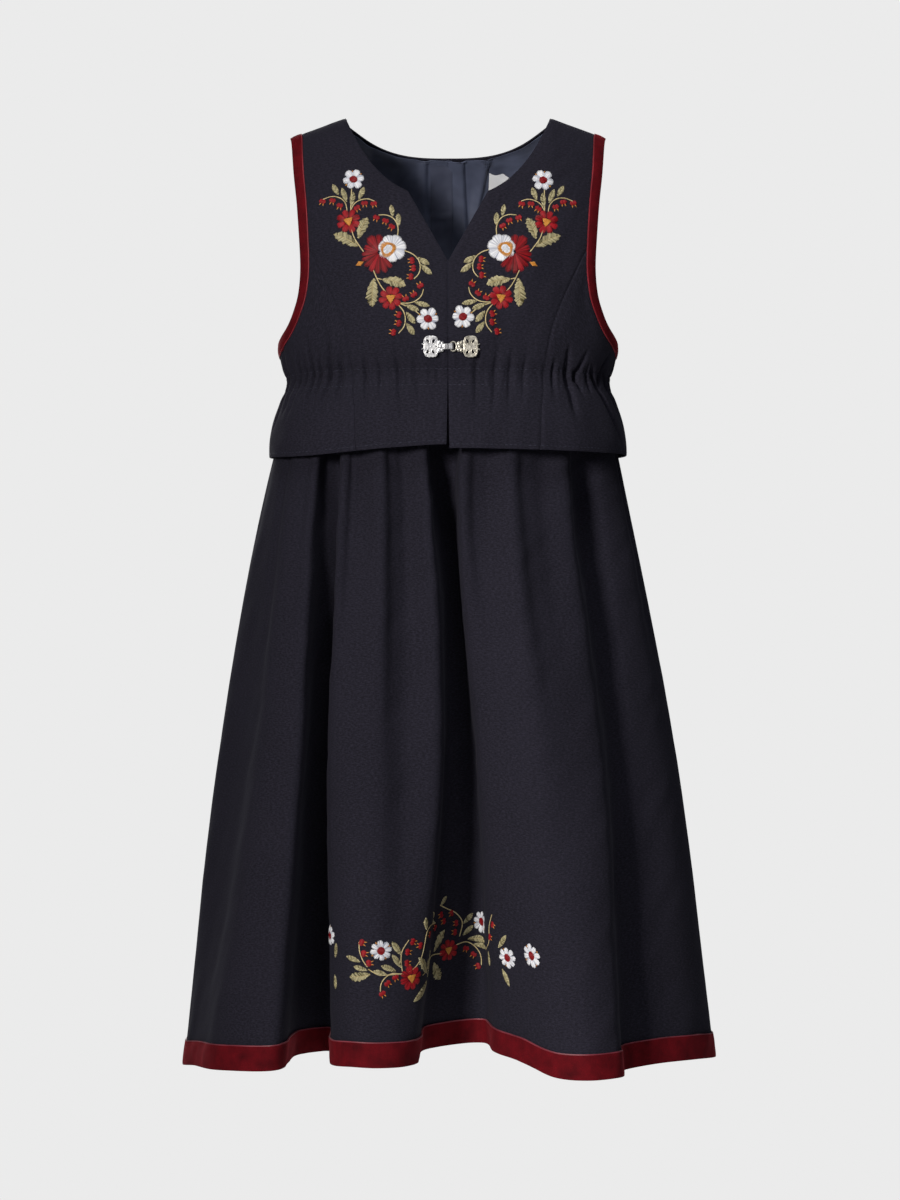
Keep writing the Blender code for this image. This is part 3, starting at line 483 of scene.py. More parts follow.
    def patch(self, part: "Part", side: Side, across: Array, up: Array) -> Pair:
        """Angles and levels of a panel's grid, filled in between its four edges."""
        bottom, top, inner, outer = self.edges(part, side)
        low, high, near, far = bottom(across), top(across), inner(up), outer(up)
        a, u = across[None, :], up[:, None]
        filled = []
        for i in (0, 1):
            corners = [float(edge(np.array(end))[i]) for edge in (inner, outer) for end in (0.0, 1.0)]
            near_low, near_high, far_low, far_high = corners
            filled.append(
                (1 - u) * low[i][None, :]
                + u * high[i][None, :]
                + (1 - a) * near[i][:, None]
                + a * far[i][:, None]
                - (1 - u) * ((1 - a) * near_low + a * far_low)
                - u * ((1 - a) * near_high + a * far_high)
            )
        return filled[0], filled[1]


class Part(Enum):
    """The three panels that each half of the bodice is cut in."""

    FRONT = "front"
    SIDE_FRONT = "side_front"
    BACK = "back"


# Finishes


def linear(colour: str) -> tuple[float, float, float, float]:
    """A hex colour as Blender's linear values."""
    channels = [int(colour[i : i + 2], 16) / 255 for i in (1, 3, 5)]
    return (*[c / 12.92 if c <= 0.04045 else ((c + 0.055) / 1.055) ** 2.4 for c in channels], 1.0)


class Recipe:
    """A material's node tree, with short ways to add nodes and join them."""

    def __init__(self, name: str) -> None:
        """Starts a material with one shader.

        Args:
            name: the real finish that it stands for.
        """
        self.material = bpy.data.materials.new(name)
        self.material.use_nodes = True
        self.tree = self.material.node_tree
        self.shader = self.tree.nodes["Principled BSDF"]

    def fill(self, socket: Socket, value: object) -> None:
        """Gives a socket a value, or joins another socket to it."""
        if isinstance(value, Socket):
            self.tree.links.new(value, socket)
        else:
            socket.default_value = value

    def add(self, kind: str, inputs: dict | None = None, **settings: object) -> bpy.types.Node:
        """Adds a node.

        Args:
            kind: the node's type, without its ShaderNode prefix.
            inputs: values for its sockets, and sockets to join to them.
            settings: the node's own properties.

        Returns:
            The node.
        """
        node = self.tree.nodes.new(f"ShaderNode{kind}")
        for key, value in settings.items():
            setattr(node, key, value)
        for key, value in (inputs or {}).items():
            self.fill(node.inputs[key], value)
        return node

    def surface(self, **values: object) -> None:
        """Sets the shader's sockets, or joins them; underscores stand for spaces."""
        for key, value in values.items():
            self.fill(self.shader.inputs[key.replace("_", " ")], value)

    def place(self, kind: str = "Object") -> Socket:
        """Places on the piece, or with UV on its flat cloth."""
        return self.add("TexCoord").outputs[kind]

    def scaled(self, place: Socket, scale: Place) -> Socket:
        """Places drawn out along some axes."""
        return self.add("Mapping", {"Vector": place, "Scale": scale}).outputs[0]

    def times(self, value: Socket, factor: float) -> Socket:
        """A value times a number."""
        return self.add("Math", {0: value, 1: factor}, operation="MULTIPLY").outputs[0]

    def plus(self, first: object, second: object) -> Socket:
        """The sum of two values."""
        return self.add("Math", {0: first, 1: second}, operation="ADD").outputs[0]

    def mix(self, share: object, low: object, high: object) -> Socket:
        """A blend of two colours."""
        return self.add("Mix", {0: share, 6: low, 7: high}, data_type="RGBA").outputs[2]

    def band(self, value: object, low: float, high: float) -> Socket:
        """A value spread so that low becomes 0 and high becomes 1."""
        return self.add("MapRange", {0: value, 1: low, 2: high, 3: 0.0, 4: 1.0}).outputs[0]

    def laid(self, tone: Socket, colour: str, share: float, pattern: Socket, *limits: float) -> Socket:
        """A tone with a share of a colour over it, where a pattern goes from one limit to the other."""
        cover = self.times(self.band(pattern, *limits), share)
        return self.mix(cover, tone, linear(colour))

    def noise(self, vector: object, scale: float, detail: float = 2.0) -> Socket:
        """Cloudy noise at a number of features a metre."""
        inputs = {"Vector": vector, "Scale": scale, "Detail": detail, "Roughness": 0.55}
        return self.add("TexNoise", inputs).outputs[0]

    def bump(self, height: object, distance: float, strength: float) -> Socket:
        """A surface raised by a height."""
        return self.add("Bump", {"Height": height, "Distance": distance, "Strength": strength}).outputs[0]


@dataclass(frozen=True)
class Finish:
    """A real finish: its name, its darker colour and its lighter one."""

    name: str
    deep: str
    pale: str

    def build(self) -> Material:
        """Makes the material.

        Returns:
            The material, named for the real finish.
        """
        recipe = Recipe(self.name)
        self.paint(recipe)
        return recipe.material

    def tone(self, recipe: Recipe, pattern: Socket, low: float, high: float) -> Socket:
        """The darker colour where a pattern is low, and the lighter one where it is high."""
        return recipe.mix(recipe.band(pattern, low, high), linear(self.deep), linear(self.pale))

    def paint(self, recipe: Recipe) -> None:
        """Adds this finish's nodes."""
        raise NotImplementedError


@dataclass(frozen=True)
class WoolTwill(Finish):
    """Fine brushed twill of navy wool, with a blue and black melange."""

    name: str = "navy wool twill"
    deep: str = "#16151d"
    pale: str = "#33313f"
    mid: str = "#21202c"
    black: str = "#101117"
    sheen: str = "#9a9bb4"
    rib: float = 0.85 * MM
    rib_turn: float = 62
    thread: float = 0.62 * MM

    def paint(self, recipe: Recipe) -> None:
        """Adds the weave, which follows the cloth's own length and width."""
        cloth = recipe.place("UV")
        slant = recipe.add("Mapping", {"Vector": cloth, "Rotation": (0, 0, math.radians(self.rib_turn))})
        scales = {"Scale": 0.1 * math.pi / self.rib, "Detail": 2.0, "Detail Scale": 2.0}
        ribs = recipe.add("TexWave", {"Vector": slant.outputs[0], "Distortion": 1.2, **scales}).outputs[1]
        yarn = recipe.noise(cloth, 0.7 / self.thread, 3.0)
        fluff = recipe.noise(cloth, 0.3 / self.thread, 3.0)
        slub = recipe.noise(recipe.scaled(cloth, (0.3, 1, 1)), 0.75 / self.thread)
        drift = recipe.noise(cloth, 14.0)
        tone = recipe.mix(recipe.band(yarn, 0.36, 0.66), linear(self.deep), linear(self.mid))
        tone = recipe.laid(tone, self.pale, 0.3, fluff, 0.42, 0.72)
        tone = recipe.laid(tone, self.pale, 0.5, slub, 0.5, 0.74)
        tone = recipe.laid(tone, self.black, 0.6, slub, 0.5, 0.28)
        tone = recipe.laid(tone, self.pale, 0.1, drift, 0.35, 0.7)
        weave = recipe.plus(recipe.times(ribs, 0.6), recipe.times(yarn, 0.9))
        recipe.surface(Base_Color=tone, Roughness=0.92, Normal=recipe.bump(weave, 0.16 * MM, 0.55))
        recipe.surface(Sheen_Weight=0.05, Sheen_Roughness=0.45, Sheen_Tint=linear(self.sheen))
        recipe.surface(Specular_IOR_Level=0.18)


@dataclass(frozen=True)
class Velvet(Finish):
    """Cut velvet: dark where it is looked into; the bright red along its turned edges is a painted highlight,
    given as its own lighter material.
    """

    name: str = "wine velvet"
    deep: str = "#33050b"
    pale: str = "#780f1a"
    sheen: str = "#d8525c"

    def paint(self, recipe: Recipe) -> None:
        """Adds a little uneven pile, brushed this way and that."""
        place = recipe.place()
        brushed = recipe.noise(place, 90.0, 3.0)
        pile = recipe.noise(place, 1500.0)
        tone = recipe.laid(self.tone(recipe, brushed, 0.05, 0.95), self.deep, 0.35, pile, 0.4, 0.7)
        height = recipe.plus(pile, recipe.times(brushed, 0.6))
        recipe.surface(Base_Color=tone, Roughness=0.85, Normal=recipe.bump(height, 0.3 * MM, 0.5))
        recipe.surface(Sheen_Weight=0.35, Sheen_Roughness=0.35, Sheen_Tint=linear(self.sheen))
        recipe.surface(Specular_IOR_Level=0.1)


@dataclass(frozen=True)
class Satin(Finish):
    """Smooth woven cloth with a soft gleam: the lining, its placket, or a tape."""

    roughness: float = 0.42
    thread: float = 0.35 * MM

    def paint(self, recipe: Recipe) -> None:
        """Adds fine threads across and along the cloth."""
        cloth = recipe.place("UV")
        drift = recipe.noise(cloth, 25.0, 3.0)
        thread = recipe.noise(cloth, 0.6 / self.thread)
        tone = self.tone(recipe, drift, 0.35, 0.65)
        rough = recipe.plus(self.roughness - 0.08, recipe.times(drift, 0.16))
        recipe.surface(Base_Color=tone, Roughness=rough, Normal=recipe.bump(thread, 0.05 * MM, 0.5))
        recipe.surface(Specular_IOR_Level=0.45, Sheen_Weight=0.1, Sheen_Roughness=0.3)


@dataclass(frozen=True)
class Floss(Finish):
    """Glossy embroidery floss, each stitch a little lighter or darker than the next, and a petal's stitches
    darker at its sides as painted shade.
    """

    roughness: float = 0.45

    def paint(self, recipe: Recipe) -> None:
        """Adds the ply, over each stitch's shade, which is kept with its mesh."""
        shade = recipe.add("Attribute", attribute_name="shade").outputs["Fac"]
        place = recipe.place()
        tone = recipe.mix(shade, linear(self.deep), linear(self.pale))
        ply = recipe.noise(place, 2600.0)
        tone = recipe.laid(tone, self.deep, 0.25, ply, 0.4, 0.75)
        recipe.surface(Base_Color=tone, Roughness=self.roughness, Normal=recipe.bump(ply, 0.05 * MM, 0.6))
        recipe.surface(Specular_IOR_Level=0.25)


@dataclass(frozen=True)
class Silver(Finish):
    """Cast silver with soft edges and an uneven, cloudy tone."""

    roughness: float = 0.3

    def paint(self, recipe: Recipe) -> None:
        """Adds cloudy stains, and grain in the roughness and the bump."""
        place = recipe.place()
        grain = recipe.noise(place, 900.0, 3.0)
        tone = self.tone(recipe, recipe.noise(place, 260.0), 0.35, 0.6)
        rough = recipe.plus(self.roughness - 0.1, recipe.times(grain, 0.3))
        recipe.surface(Base_Color=tone, Roughness=rough, Normal=recipe.bump(grain, 0.08 * MM, 0.35))
        recipe.surface(Metallic=0.85)


@dataclass(frozen=True)
class Horn(Finish):
    """Dark polished horn for the buttons."""

    name: str = "dark horn"
    deep: str = "#17161b"
    pale: str = "#33303a"

    def paint(self, recipe: Recipe) -> None:
        """Adds cloudy streaks."""
        streak = recipe.noise(recipe.scaled(recipe.place(), (1, 1, 0.3)), 500.0, 4.0)
        tone = self.tone(recipe, streak, 0.4, 0.7)
        recipe.surface(Base_Color=tone, Roughness=0.28, Normal=recipe.bump(streak, 0.05 * MM, 0.25))
        recipe.surface(Coat_Weight=0.3, Coat_Roughness=0.15)


@dataclass
class Finishes:
    """Every finish of the dress, made once."""

    wool: Material = field(default_factory=WoolTwill().build)
    velvet: Material = field(default_factory=Velvet().build)
    piping: Material = field(default_factory=Satin("rose ribbon edge", "#5e1a26", "#8f3d49", 0.5).build)
    # The turned velvet edge is the velvet's own red painted lighter: a painted highlight where the pile at
    # the fold catches the light.
    fold: Material = field(default_factory=Satin("turned velvet edge with painted sheen", "#6f121c", "#9a2a35", 0.6).build)
    lining: Material = field(default_factory=Satin("slate lining", "#3e4355", "#596077", 0.4).build)
    placket: Material = field(default_factory=Satin("placket cloth", "#393d50", "#50566c", 0.6).build)
    label: Material = field(default_factory=Satin("white tape", "#e4e8ee", "#fbfcfe", 0.55).build)
    topstitch: Material = field(default_factory=Floss("navy sewing thread", "#22232e", "#3b3e4e", 0.7).build)
    silver_left: Material = field(default_factory=Silver("bright silver", "#b9bac0", "#f5f5f6", 0.34).build)
    silver_right: Material = field(default_factory=Silver("warm silver", "#8b877c", "#d6d2c6", 0.34).build)
    horn: Material = field(default_factory=Horn().build)


# Making meshes


def select_only(piece: Piece) -> None:
    """Leaves one object selected and active."""
    bpy.ops.object.select_all(action="DESELECT")
    piece.select_set(True)
    bpy.context.view_layer.objects.active = piece


def read_points(mesh: bpy.types.Mesh) -> Array:
    """The places of a mesh's points."""
    spots = np.empty(len(mesh.vertices) * 3)
    mesh.vertices.foreach_get("co", spots)
    return spots.reshape(-1, 3)


def put_points(mesh: bpy.types.Mesh, spots: Array) -> None:
    """Moves a mesh's points to new places."""
    mesh.vertices.foreach_set("co", spots.astype(np.float32).ravel())
    mesh.update()


def face_values(mesh: bpy.types.Mesh, key: str) -> Array:
    """The normals or middles of a mesh's faces."""
    values = np.empty(len(mesh.polygons) * 3)
    mesh.polygons.foreach_get(key, values)
    return values.reshape(-1, 3)


def grid_shares(columns: int, rows: int) -> Pair:
    """Column and row numbers of a new grid's points, in the order that Blender keeps them."""
    shares = read_points(bpy.context.object.data) + 0.5
    return tuple(np.rint(shares[:, i] * (count - 1)).astype(int) for i, count in ((0, columns), (1, rows)))


def cloth_grid(name: str, points: Array, cloth: Array, finish: Material) -> Piece:
    """Lays a primitive grid on a sheet of points.

    Args:
        name: the piece's name.
        points: the sheet's points, row by row.
        cloth: the place of each point on the flat cloth, in metres, which becomes its UV.
        finish: the piece's material.

    Returns:
        The sheet, with no thickness yet.
    """
    rows, columns = points.shape[:2]
    bpy.ops.object.select_all(action="DESELECT")
    cuts = {"x_subdivisions": columns - 1, "y_subdivisions": rows - 1}
    bpy.ops.mesh.primitive_grid_add(size=1, calc_uvs=True, **cuts)
    sheet = bpy.context.object
    sheet.name = sheet.data.name = name
    column, row = grid_shares(columns, rows)
    corners = np.empty(len(sheet.data.loops), dtype=np.int32)
    sheet.data.loops.foreach_get("vertex_index", corners)
    sheet.data.uv_layers[0].data.foreach_set("uv", cloth[row, column][corners].astype(np.float32).ravel())
    sheet.data.materials.append(finish)
    put_points(sheet.data, points[row, column])
    return sheet


def face_out(sheet: Piece, points: Array, outs: Array) -> None:
    """Turns a sheet over if its faces point into the dress.

    Args:
        sheet: the sheet of cloth.
        points: its points.
        outs: the way out at each.
    """
    spots, ways = points.reshape(-1, 3), outs.reshape(-1, 3)
    normals, centres = (face_values(sheet.data, key) for key in ("normal", "center"))
    pick = np.linspace(0, len(centres) - 1, FACES_ASKED).astype(int)
    nearest = [np.argmin(((spots - centre) ** 2).sum(-1)) for centre in centres[pick]]
    if (normals[pick] * ways[nearest]).sum() < 0:
        sheet.data.flip_normals()


def thicken(sheet: Piece, thickness: float) -> Piece:
    """Gives a sheet its thickness, inward from the face that shows.

    Args:
        sheet: the sheet of cloth.
        thickness: how thick the cloth is.

    Returns:
        The same piece, closed round its edges.
    """
    select_only(sheet)
    bpy.ops.object.modifier_add(type="SOLIDIFY")
    solidify = sheet.modifiers[-1]
    solidify.thickness = thickness
    solidify.offset = -1
    solidify.use_quality_normals = True
    bpy.ops.object.modifier_apply(modifier=solidify.name)
    bpy.ops.object.shade_smooth_by_angle(angle=CLOTH_EDGE)
    return sheet


def sewn_cloth(name: str, points: Array, outs: Array, thickness: float, finish: Material) -> Piece:
    """One cut piece of cloth with its thickness.

    Args:
        name: the piece's name.
        points: its outer face, row by row.
        outs: the way out at each point.
        thickness: the cloth's thickness.
        finish: its material.

    Returns:
        The finished piece.
    """
    sheet = cloth_grid(name, points, flat_cloth(points), finish)
    face_out(sheet, points, outs)
    return thicken(sheet, thickness)


def lengths(points: Array, axis: int) -> Array:
    """How far along the cloth each point lies, down one axis of its grid."""
    steps = np.linalg.norm(np.diff(points, axis=axis), axis=-1)
    pad = [(0, 0), (0, 0)]
    pad[axis] = (1, 0)
    return np.pad(np.cumsum(steps, axis=axis), pad)


def flat_cloth(points: Array) -> Array:
    """The place of each point on the flat cloth, from lengths along the sheet's middle lines."""
    across = lengths(points, 1)
    up = lengths(points, 0)
    middle = points.shape[1] // 2
    centred = across - across[:, middle : middle + 1]
    return np.stack((centred, np.broadcast_to(up[:, middle : middle + 1], centred.shape)), axis=-1)


def cloth_area(points: Array) -> float:
    """Area of one face of a sheet of points, in square metres."""
    a, b = points[1:, :-1] - points[:-1, :-1], points[:-1, 1:] - points[:-1, :-1]
    return float(np.linalg.norm(np.cross(a, b), axis=-1).sum())


def belong(piece: Piece, slot: str, *nodes: str) -> Piece:
    """Hides the solids that a piece stands for, puts it on the root body and logs its faces."""
    if nodes:
        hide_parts(*nodes)
    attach(piece, "root")
    LOG.info("%s: %d faces", piece.name, len(piece.data.polygons))
    return piece


def declare(piece: Piece, points: Array, slot: str, node: str) -> Piece:
    """Reports a cloth piece, with the flat cut of what shows.

    Args:
        piece: the finished piece.
        points: its outer face, from which the size of its cut is worked out.
        slot: the record's material slot; not used.
        node: the solid that it replaces.

    Returns:
        The piece.
    """
    width, length = lengths(points, 1)[:, -1].max(), max(NARROWEST_CUT, lengths(points, 0)[-1].max())
    area = min(width * length, cloth_area(points))
    belong(piece, slot, node)
    LOG.info("%s: cut %.3f by %.3f m, %.4f square metres", piece.name, width, length, area)
    return piece


# The bodice


@dataclass(frozen=True)
class NeckCorner:
    """Where wear has drawn in the back neck's upper corner, so that the front's edge hides it."""

    place: Place = (82 * MM, 9 * MM, -1 * MM)
    reach: float = 13 * MM
    shift: Place = (1.5 * MM, 0.0, -0.6 * MM)

    def drawn(self, points: Array) -> Array:
        """Points of a right half, moved where they lie near the corner."""
        near = bell(np.linalg.norm(points - np.array(self.place), axis=-1), self.reach)
        return points + near[..., None] * np.array(self.shift)


@dataclass(frozen=True)
class Gather:
    """A soft trough that the casing draws into a panel.

    Across is its share of the panel's width at the casing, lean how far that moves for each metre upwards,
    depth and width are in millimetres and a share, and up and down are its reaches in millimetres.
    """

    across: float
    depth: float
    width: float
    up: float
    down: float
    lean: float = 0.0

    def sunk(self, across: Array, z: Array, casing: float) -> Array:
        """How far this gather sinks the cloth."""
        reach = np.where(z > casing, self.up, self.down) * MM
        fade = eased(1 - np.abs(z - casing) / reach)
        middle = self.across + self.lean * (z - casing)
        return self.depth * MM * bell(across - middle, 0.42 * self.width) * fade


GATHERS: dict[str, tuple[Gather, ...]] = {
    "front_left": (
        Gather(0.24, 0.9, 0.07, 26, 34),
        Gather(0.43, 1.2, 0.07, 30, 40, 0.4),
        Gather(0.64, 1.0, 0.06, 24, 28),
        Gather(0.82, 1.3, 0.06, 28, 36, -0.5),
    ),
    "front_right": (
        Gather(0.22, 1.2, 0.06, 24, 36),
        Gather(0.41, 1.3, 0.07, 30, 42, 0.3),
        Gather(0.57, 1.1, 0.06, 26, 30),
        Gather(0.74, 0.9, 0.06, 20, 26),
    ),
    "side_front_left": (
        Gather(0.11, 2.0, 0.055, 30, 34, -0.6),
        Gather(0.23, 2.8, 0.055, 44, 40, -1.0),
        Gather(0.34, 2.2, 0.045, 24, 30),
        Gather(0.43, 2.8, 0.045, 38, 42, 0.9),
        Gather(0.53, 2.2, 0.045, 22, 26),
        Gather(0.62, 2.6, 0.045, 30, 36),
        Gather(0.73, 2.4, 0.05, 26, 32, 0.6),
        Gather(0.84, 2.8, 0.05, 34, 44),
        Gather(0.94, 1.8, 0.04, 22, 26),
    ),
    "side_front_right": (
        Gather(0.09, 1.0, 0.05, 18, 26),
        Gather(0.24, 3.0, 0.065, 28, 42, -0.5),
        Gather(0.34, 2.6, 0.05, 24, 5, 5.5),
        Gather(0.34, 2.0, 0.05, 6, 18, -2.5),
        Gather(0.48, 1.6, 0.04, 14, 16, 1.0),
        Gather(0.57, 3.2, 0.05, 12, 62, -2.6),
        Gather(0.67, 2.8, 0.045, 26, 8, 5.0),
        Gather(0.78, 2.6, 0.05, 14, 40, -1.6),
        Gather(0.90, 2.2, 0.05, 26, 34, 1.0),
    ),
    "back_left": (
        Gather(0.14, 1.2, 0.055, 22, 30),
        Gather(0.28, 1.6, 0.06, 30, 38, 0.4),
        Gather(0.42, 1.9, 0.055, 26, 30),
        Gather(0.55, 2.4, 0.055, 34, 42, -0.5),
        Gather(0.68, 2.0, 0.05, 24, 30),
        Gather(0.80, 2.8, 0.05, 32, 40),
        Gather(0.92, 2.2, 0.045, 26, 32),
    ),
    "back_right": (
        Gather(0.12, 1.4, 0.05, 28, 34),
        Gather(0.25, 1.2, 0.055, 20, 26),
        Gather(0.39, 2.0, 0.06, 32, 42, 0.5),
        Gather(0.52, 1.7, 0.05, 24, 30),
        Gather(0.65, 2.6, 0.055, 32, 40, -0.4),
        Gather(0.79, 2.1, 0.05, 26, 28),
        Gather(0.92, 2.6, 0.045, 30, 38),
    ),
}


@dataclass
class Bodice:
    """The six wool panels with their seams, casing, peplum and topstitching."""

    finishes: Finishes
    pattern: Pattern = Pattern()
    corner: NeckCorner = NeckCorner()
    pitch: float = 1.1 * MM
    row_pitch: float = 2.3 * MM
    near_edge: tuple[float, ...] = (0.5 * MM, 1.2 * MM, 2.2 * MM, 3.4 * MM)
    seam_sink: float = 0.55 * MM
    seam_reach: float = 1.3 * MM
    stitch_lines: Spot = (-209.6 * MM, -222.2 * MM)
    stitch_sink: float = 0.5 * MM
    stitch_reach: float = 1.1 * MM
    pucker_pitch: float = 6.2 * MM
    pucker: float = 0.42 * MM
    pucker_reach: float = 9 * MM
    pucker_wander: float = 2.2
    hem_stitch: float = 3.2 * MM
    hem_roll: float = 0.35 * MM
    hem_sink: float = 0.18 * MM
    flat_edge: float = 2 * MM
    calm: float = 12 * MM
    broad_wear: float = 0.55 * MM
    fine_wear: float = 0.22 * MM
    pull: float = 2.1
    lap: float = 0.1 * MM
    deepest: float = 5.5 * MM
    spans: dict[Part, Spot] = field(
        default_factory=lambda: {
            Part.FRONT: (100 * MM, 276 * MM),
            Part.SIDE_FRONT: (130 * MM, 168 * MM),
            Part.BACK: (150 * MM, 276 * MM),
        }
    )

    def key_rows(self, part: Part) -> tuple[float, ...]:
        """Shares of the height where a panel's edge turns a corner."""
        p = self.pattern
        if part is Part.FRONT:
            return (0.0, p.casing_share * p.join_row, p.v_row, p.join_row, p.notch_row, 1.0)
        if part is Part.SIDE_FRONT:
            return (0.0, p.casing_share, 1.0)
        return (0.0, p.casing_share * p.side_row, p.side_row, p.back_neck_row, 1.0)

    def rows(self, part: Part, height: float) -> Array:
        """Shares of a panel's height, with its corners kept and closer rows beside the hem and the top."""
        keys = self.key_rows(part)
        stops = []
        for low, high in zip(keys, keys[1:]):
            count = max(2, round((high - low) * height / self.row_pitch))
            stops.append(np.linspace(low, high, count, endpoint=False))
        near = [distance / height for distance in self.near_edge[:3]]
        every = np.concatenate((*stops, [1.0], near, [1 - share for share in near]))
        return np.unique(np.round(every, 6))

    def relief(self, points: Array, across: Array, part: Part, side: Side) -> Array:
        """How far gathers, stitches, seams and soft wear sink the cloth.

        Args:
            points: the panel's plain points, in the right half.
            across: each column's share of the panel's width.
            part: which panel.
            side: which half.

        Returns:
            Depths into the dress.
        """
        z, run, rise = points[..., 2], lengths(points, 1), lengths(points, 0)
        casing = self.pattern.casing
        edge, top = np.minimum(run, run[:, -1:] - run), rise[-1:] - rise
        seed = 10 * list(Part).index(part) + (side is Side.LEFT)
        shares = np.broadcast_to(across[None, :], z.shape)
        pulled = self.pull * sum(g.sunk(shares, z, casing) for g in GATHERS[f"{part.value}_{side.value}"])
        sunk = self.deepest * np.tanh(pulled / self.deepest)
        wander = self.pucker_wander * waves(run, z, 30 * MM, seed + 3)
        ripple = np.sin(2 * math.pi * run / self.pucker_pitch + wander) * bell(z - casing, self.pucker_reach)
        sunk = sunk + self.pucker * (0.6 + 0.5 * waves(run, z, 24 * MM, seed + 4)) * ripple
        for line in self.stitch_lines:
            sunk = sunk + self.stitch_sink * bell(z - line, self.stitch_reach)
        sunk = sunk + self.seam_sink * bell(np.minimum(edge, top), self.seam_reach)
        sunk = sunk + self.hem_roll * bell(rise, 0.9 * MM)
        sunk = sunk + self.hem_sink * bell(rise - self.hem_stitch, 0.8 * MM)
        calm = eased((edge - self.flat_edge) / self.calm) * eased((top - self.flat_edge) / self.calm)
        broad = self.broad_wear * waves(run * 1.6, z, 62 * MM, seed)
        return sunk + calm * (broad + self.fine_wear * waves(run, z, 23 * MM, seed + 1))

    def panel(self, part: Part, side: Side) -> Pair:
        """Points and ways out of one panel's outer face."""
        width, height = self.spans[part]
        across = spaced(width, self.pitch, self.near_edge)
        up = self.rows(part, height)
        body, p = self.pattern.body, self.pattern
        points = body.point(*p.patch(part, side, across, up))
        outs = body.normal(points)
        points = points - outs * self.relief(points, across, part, side)[..., None]
        points = self.corner.drawn(points)
        points = points + np.array([-self.lap if part is Part.BACK else p.seam / 2, 0, 0])
        points[..., 1] += p.seam / 2 if part is Part.BACK else -p.seam / 2
        mirror = np.array([side.sign, 1, 1])
        return points * mirror, outs * mirror

    def build(self) -> list[Piece]:
        """Makes all six panels.

        Returns:
            The panels.
        """
        panels = []
        for part in Part:
            for side in Side:
                points, outs = self.panel(part, side)
                node = f"{part.value}_{side.value}"
                piece = sewn_cloth(f"{node}_cloth", points, outs, self.pattern.wool, self.finishes.wool)
                panels.append(declare(piece, points, "wool", node))
        return panels


@dataclass
class ArmholeBands:
    """The velvet folded over each armhole, with a thin painted highlight, a lighter red, along the turned
    edge where it is sewn down.
    """

    finishes: Finishes
    pattern: Pattern = Pattern()
    proud: float = 0.4 * MM
    swell: float = 0.55 * MM
    turn_in: float = 0.35 * MM
    ripple: float = 0.12 * MM
    cover: float = 1.3 * MM
    line: float = 0.5 * MM
    stops: int = 330
    steps: int = 9

    def band(self, side: Side) -> Pair:
        """Points and ways out of one band, from the panels' edge to the armhole's."""
        stop = np.linspace(0, self.pattern.end_stop, self.stops)
        body = self.pattern.body
        rows, outs = [], []
        for share in (0, 0.08, *np.linspace(0.18, 1, self.steps)):
            inset = (self.pattern.binding + self.cover) * (1 - share)
            points = body.point(*self.pattern.inset_armhole(stop, inset))
            outs.append(body.normal(points))
            swell = self.swell * math.sin(math.pi * min(1.0, 0.12 + share)) - self.turn_in * share**6
            ripple = self.ripple * waves(stop * 8 * MM, np.full_like(stop, inset), 14 * MM, 71)
            lift = self.proud + swell + ripple * math.sin(math.pi * share)
            rows.append(points + outs[-1] * lift[:, None])
        mirror = np.array([side.sign, 1, 1])
        shift = np.array([self.pattern.seam / 2, 0, 0])
        return (np.array(rows) + shift) * mirror, np.array(outs) * mirror

    def build(self) -> list[Piece]:
        """Makes both bands.

        Returns:
            The bands.
        """
        bands = []
        for side in Side:
            points, outs = self.band(side)
            thickness = self.pattern.wool + self.proud
            name = f"armhole_band_{side.value}"
            piece = sewn_cloth(name, points, outs, thickness, self.finishes.velvet)
            # The turned edge gets the lighter red finish: a painted highlight.
            mark_edge(piece, self.finishes.fold, points, self.line)
            bands.append(declare(piece, points, "velvet", f"armhole_binding_{side.value}"))
        return bands


def mark_edge(piece: Piece, finish: Material, points: Array, width: float) -> None:
    """Gives the faces beside a sheet's first row another material.

    Args:
        piece: the thickened sheet.
        finish: the material of its edge.
        points: the sheet's points, first row along that edge.
        width: how wide the edge is.
    """
    piece.data.materials.append(finish)
    uv = piece.data.uv_layers[0].data
    spots = np.empty(len(uv) * 2, dtype=np.float32)
    uv.foreach_get("uv", spots)
    along = spots.reshape(-1, 2)[:, 1]
    starts = np.empty(len(piece.data.polygons), dtype=np.int32)
    piece.data.polygons.foreach_get("loop_start", starts)
    reach = max(width, 0.6 * float(lengths(points, 0)[1].mean()))
    edge = sum(along[starts + corner] for corner in range(4)) < 4 * reach
    piece.data.polygons.foreach_set("material_index", edge.astype(np.int32))
    piece.data.update()


@dataclass(frozen=True)
class LiningFold:
    """A fold of the lining, in millimetres: its place across at the height -60, and how far it stands up.

    Then come its reach to its left and right, and how far it leans to the right for each millimetre upwards.
    """

    middle: float
    rise: float
    left: float
    right: float
    lean: float = 0.0

    def raised(self, x: Array, z: Array) -> Array:
        """How far the fold lifts the lining into the dress."""
        off = x / MM - self.middle - self.lean * (z / MM + 60) - 0.8 * np.sin(z * 38 + self.middle)
        return self.rise * MM * np.where(off < 0, bell(off, self.left), bell(off, self.right))


@dataclass(frozen=True)
class Layer:
    """A layer inside the back: its piece, solid and slot, and its shares of the creases and cross seam."""

    name: str
    node: str
    slot: str
    wrinkle: float
    cross: float = 0.0


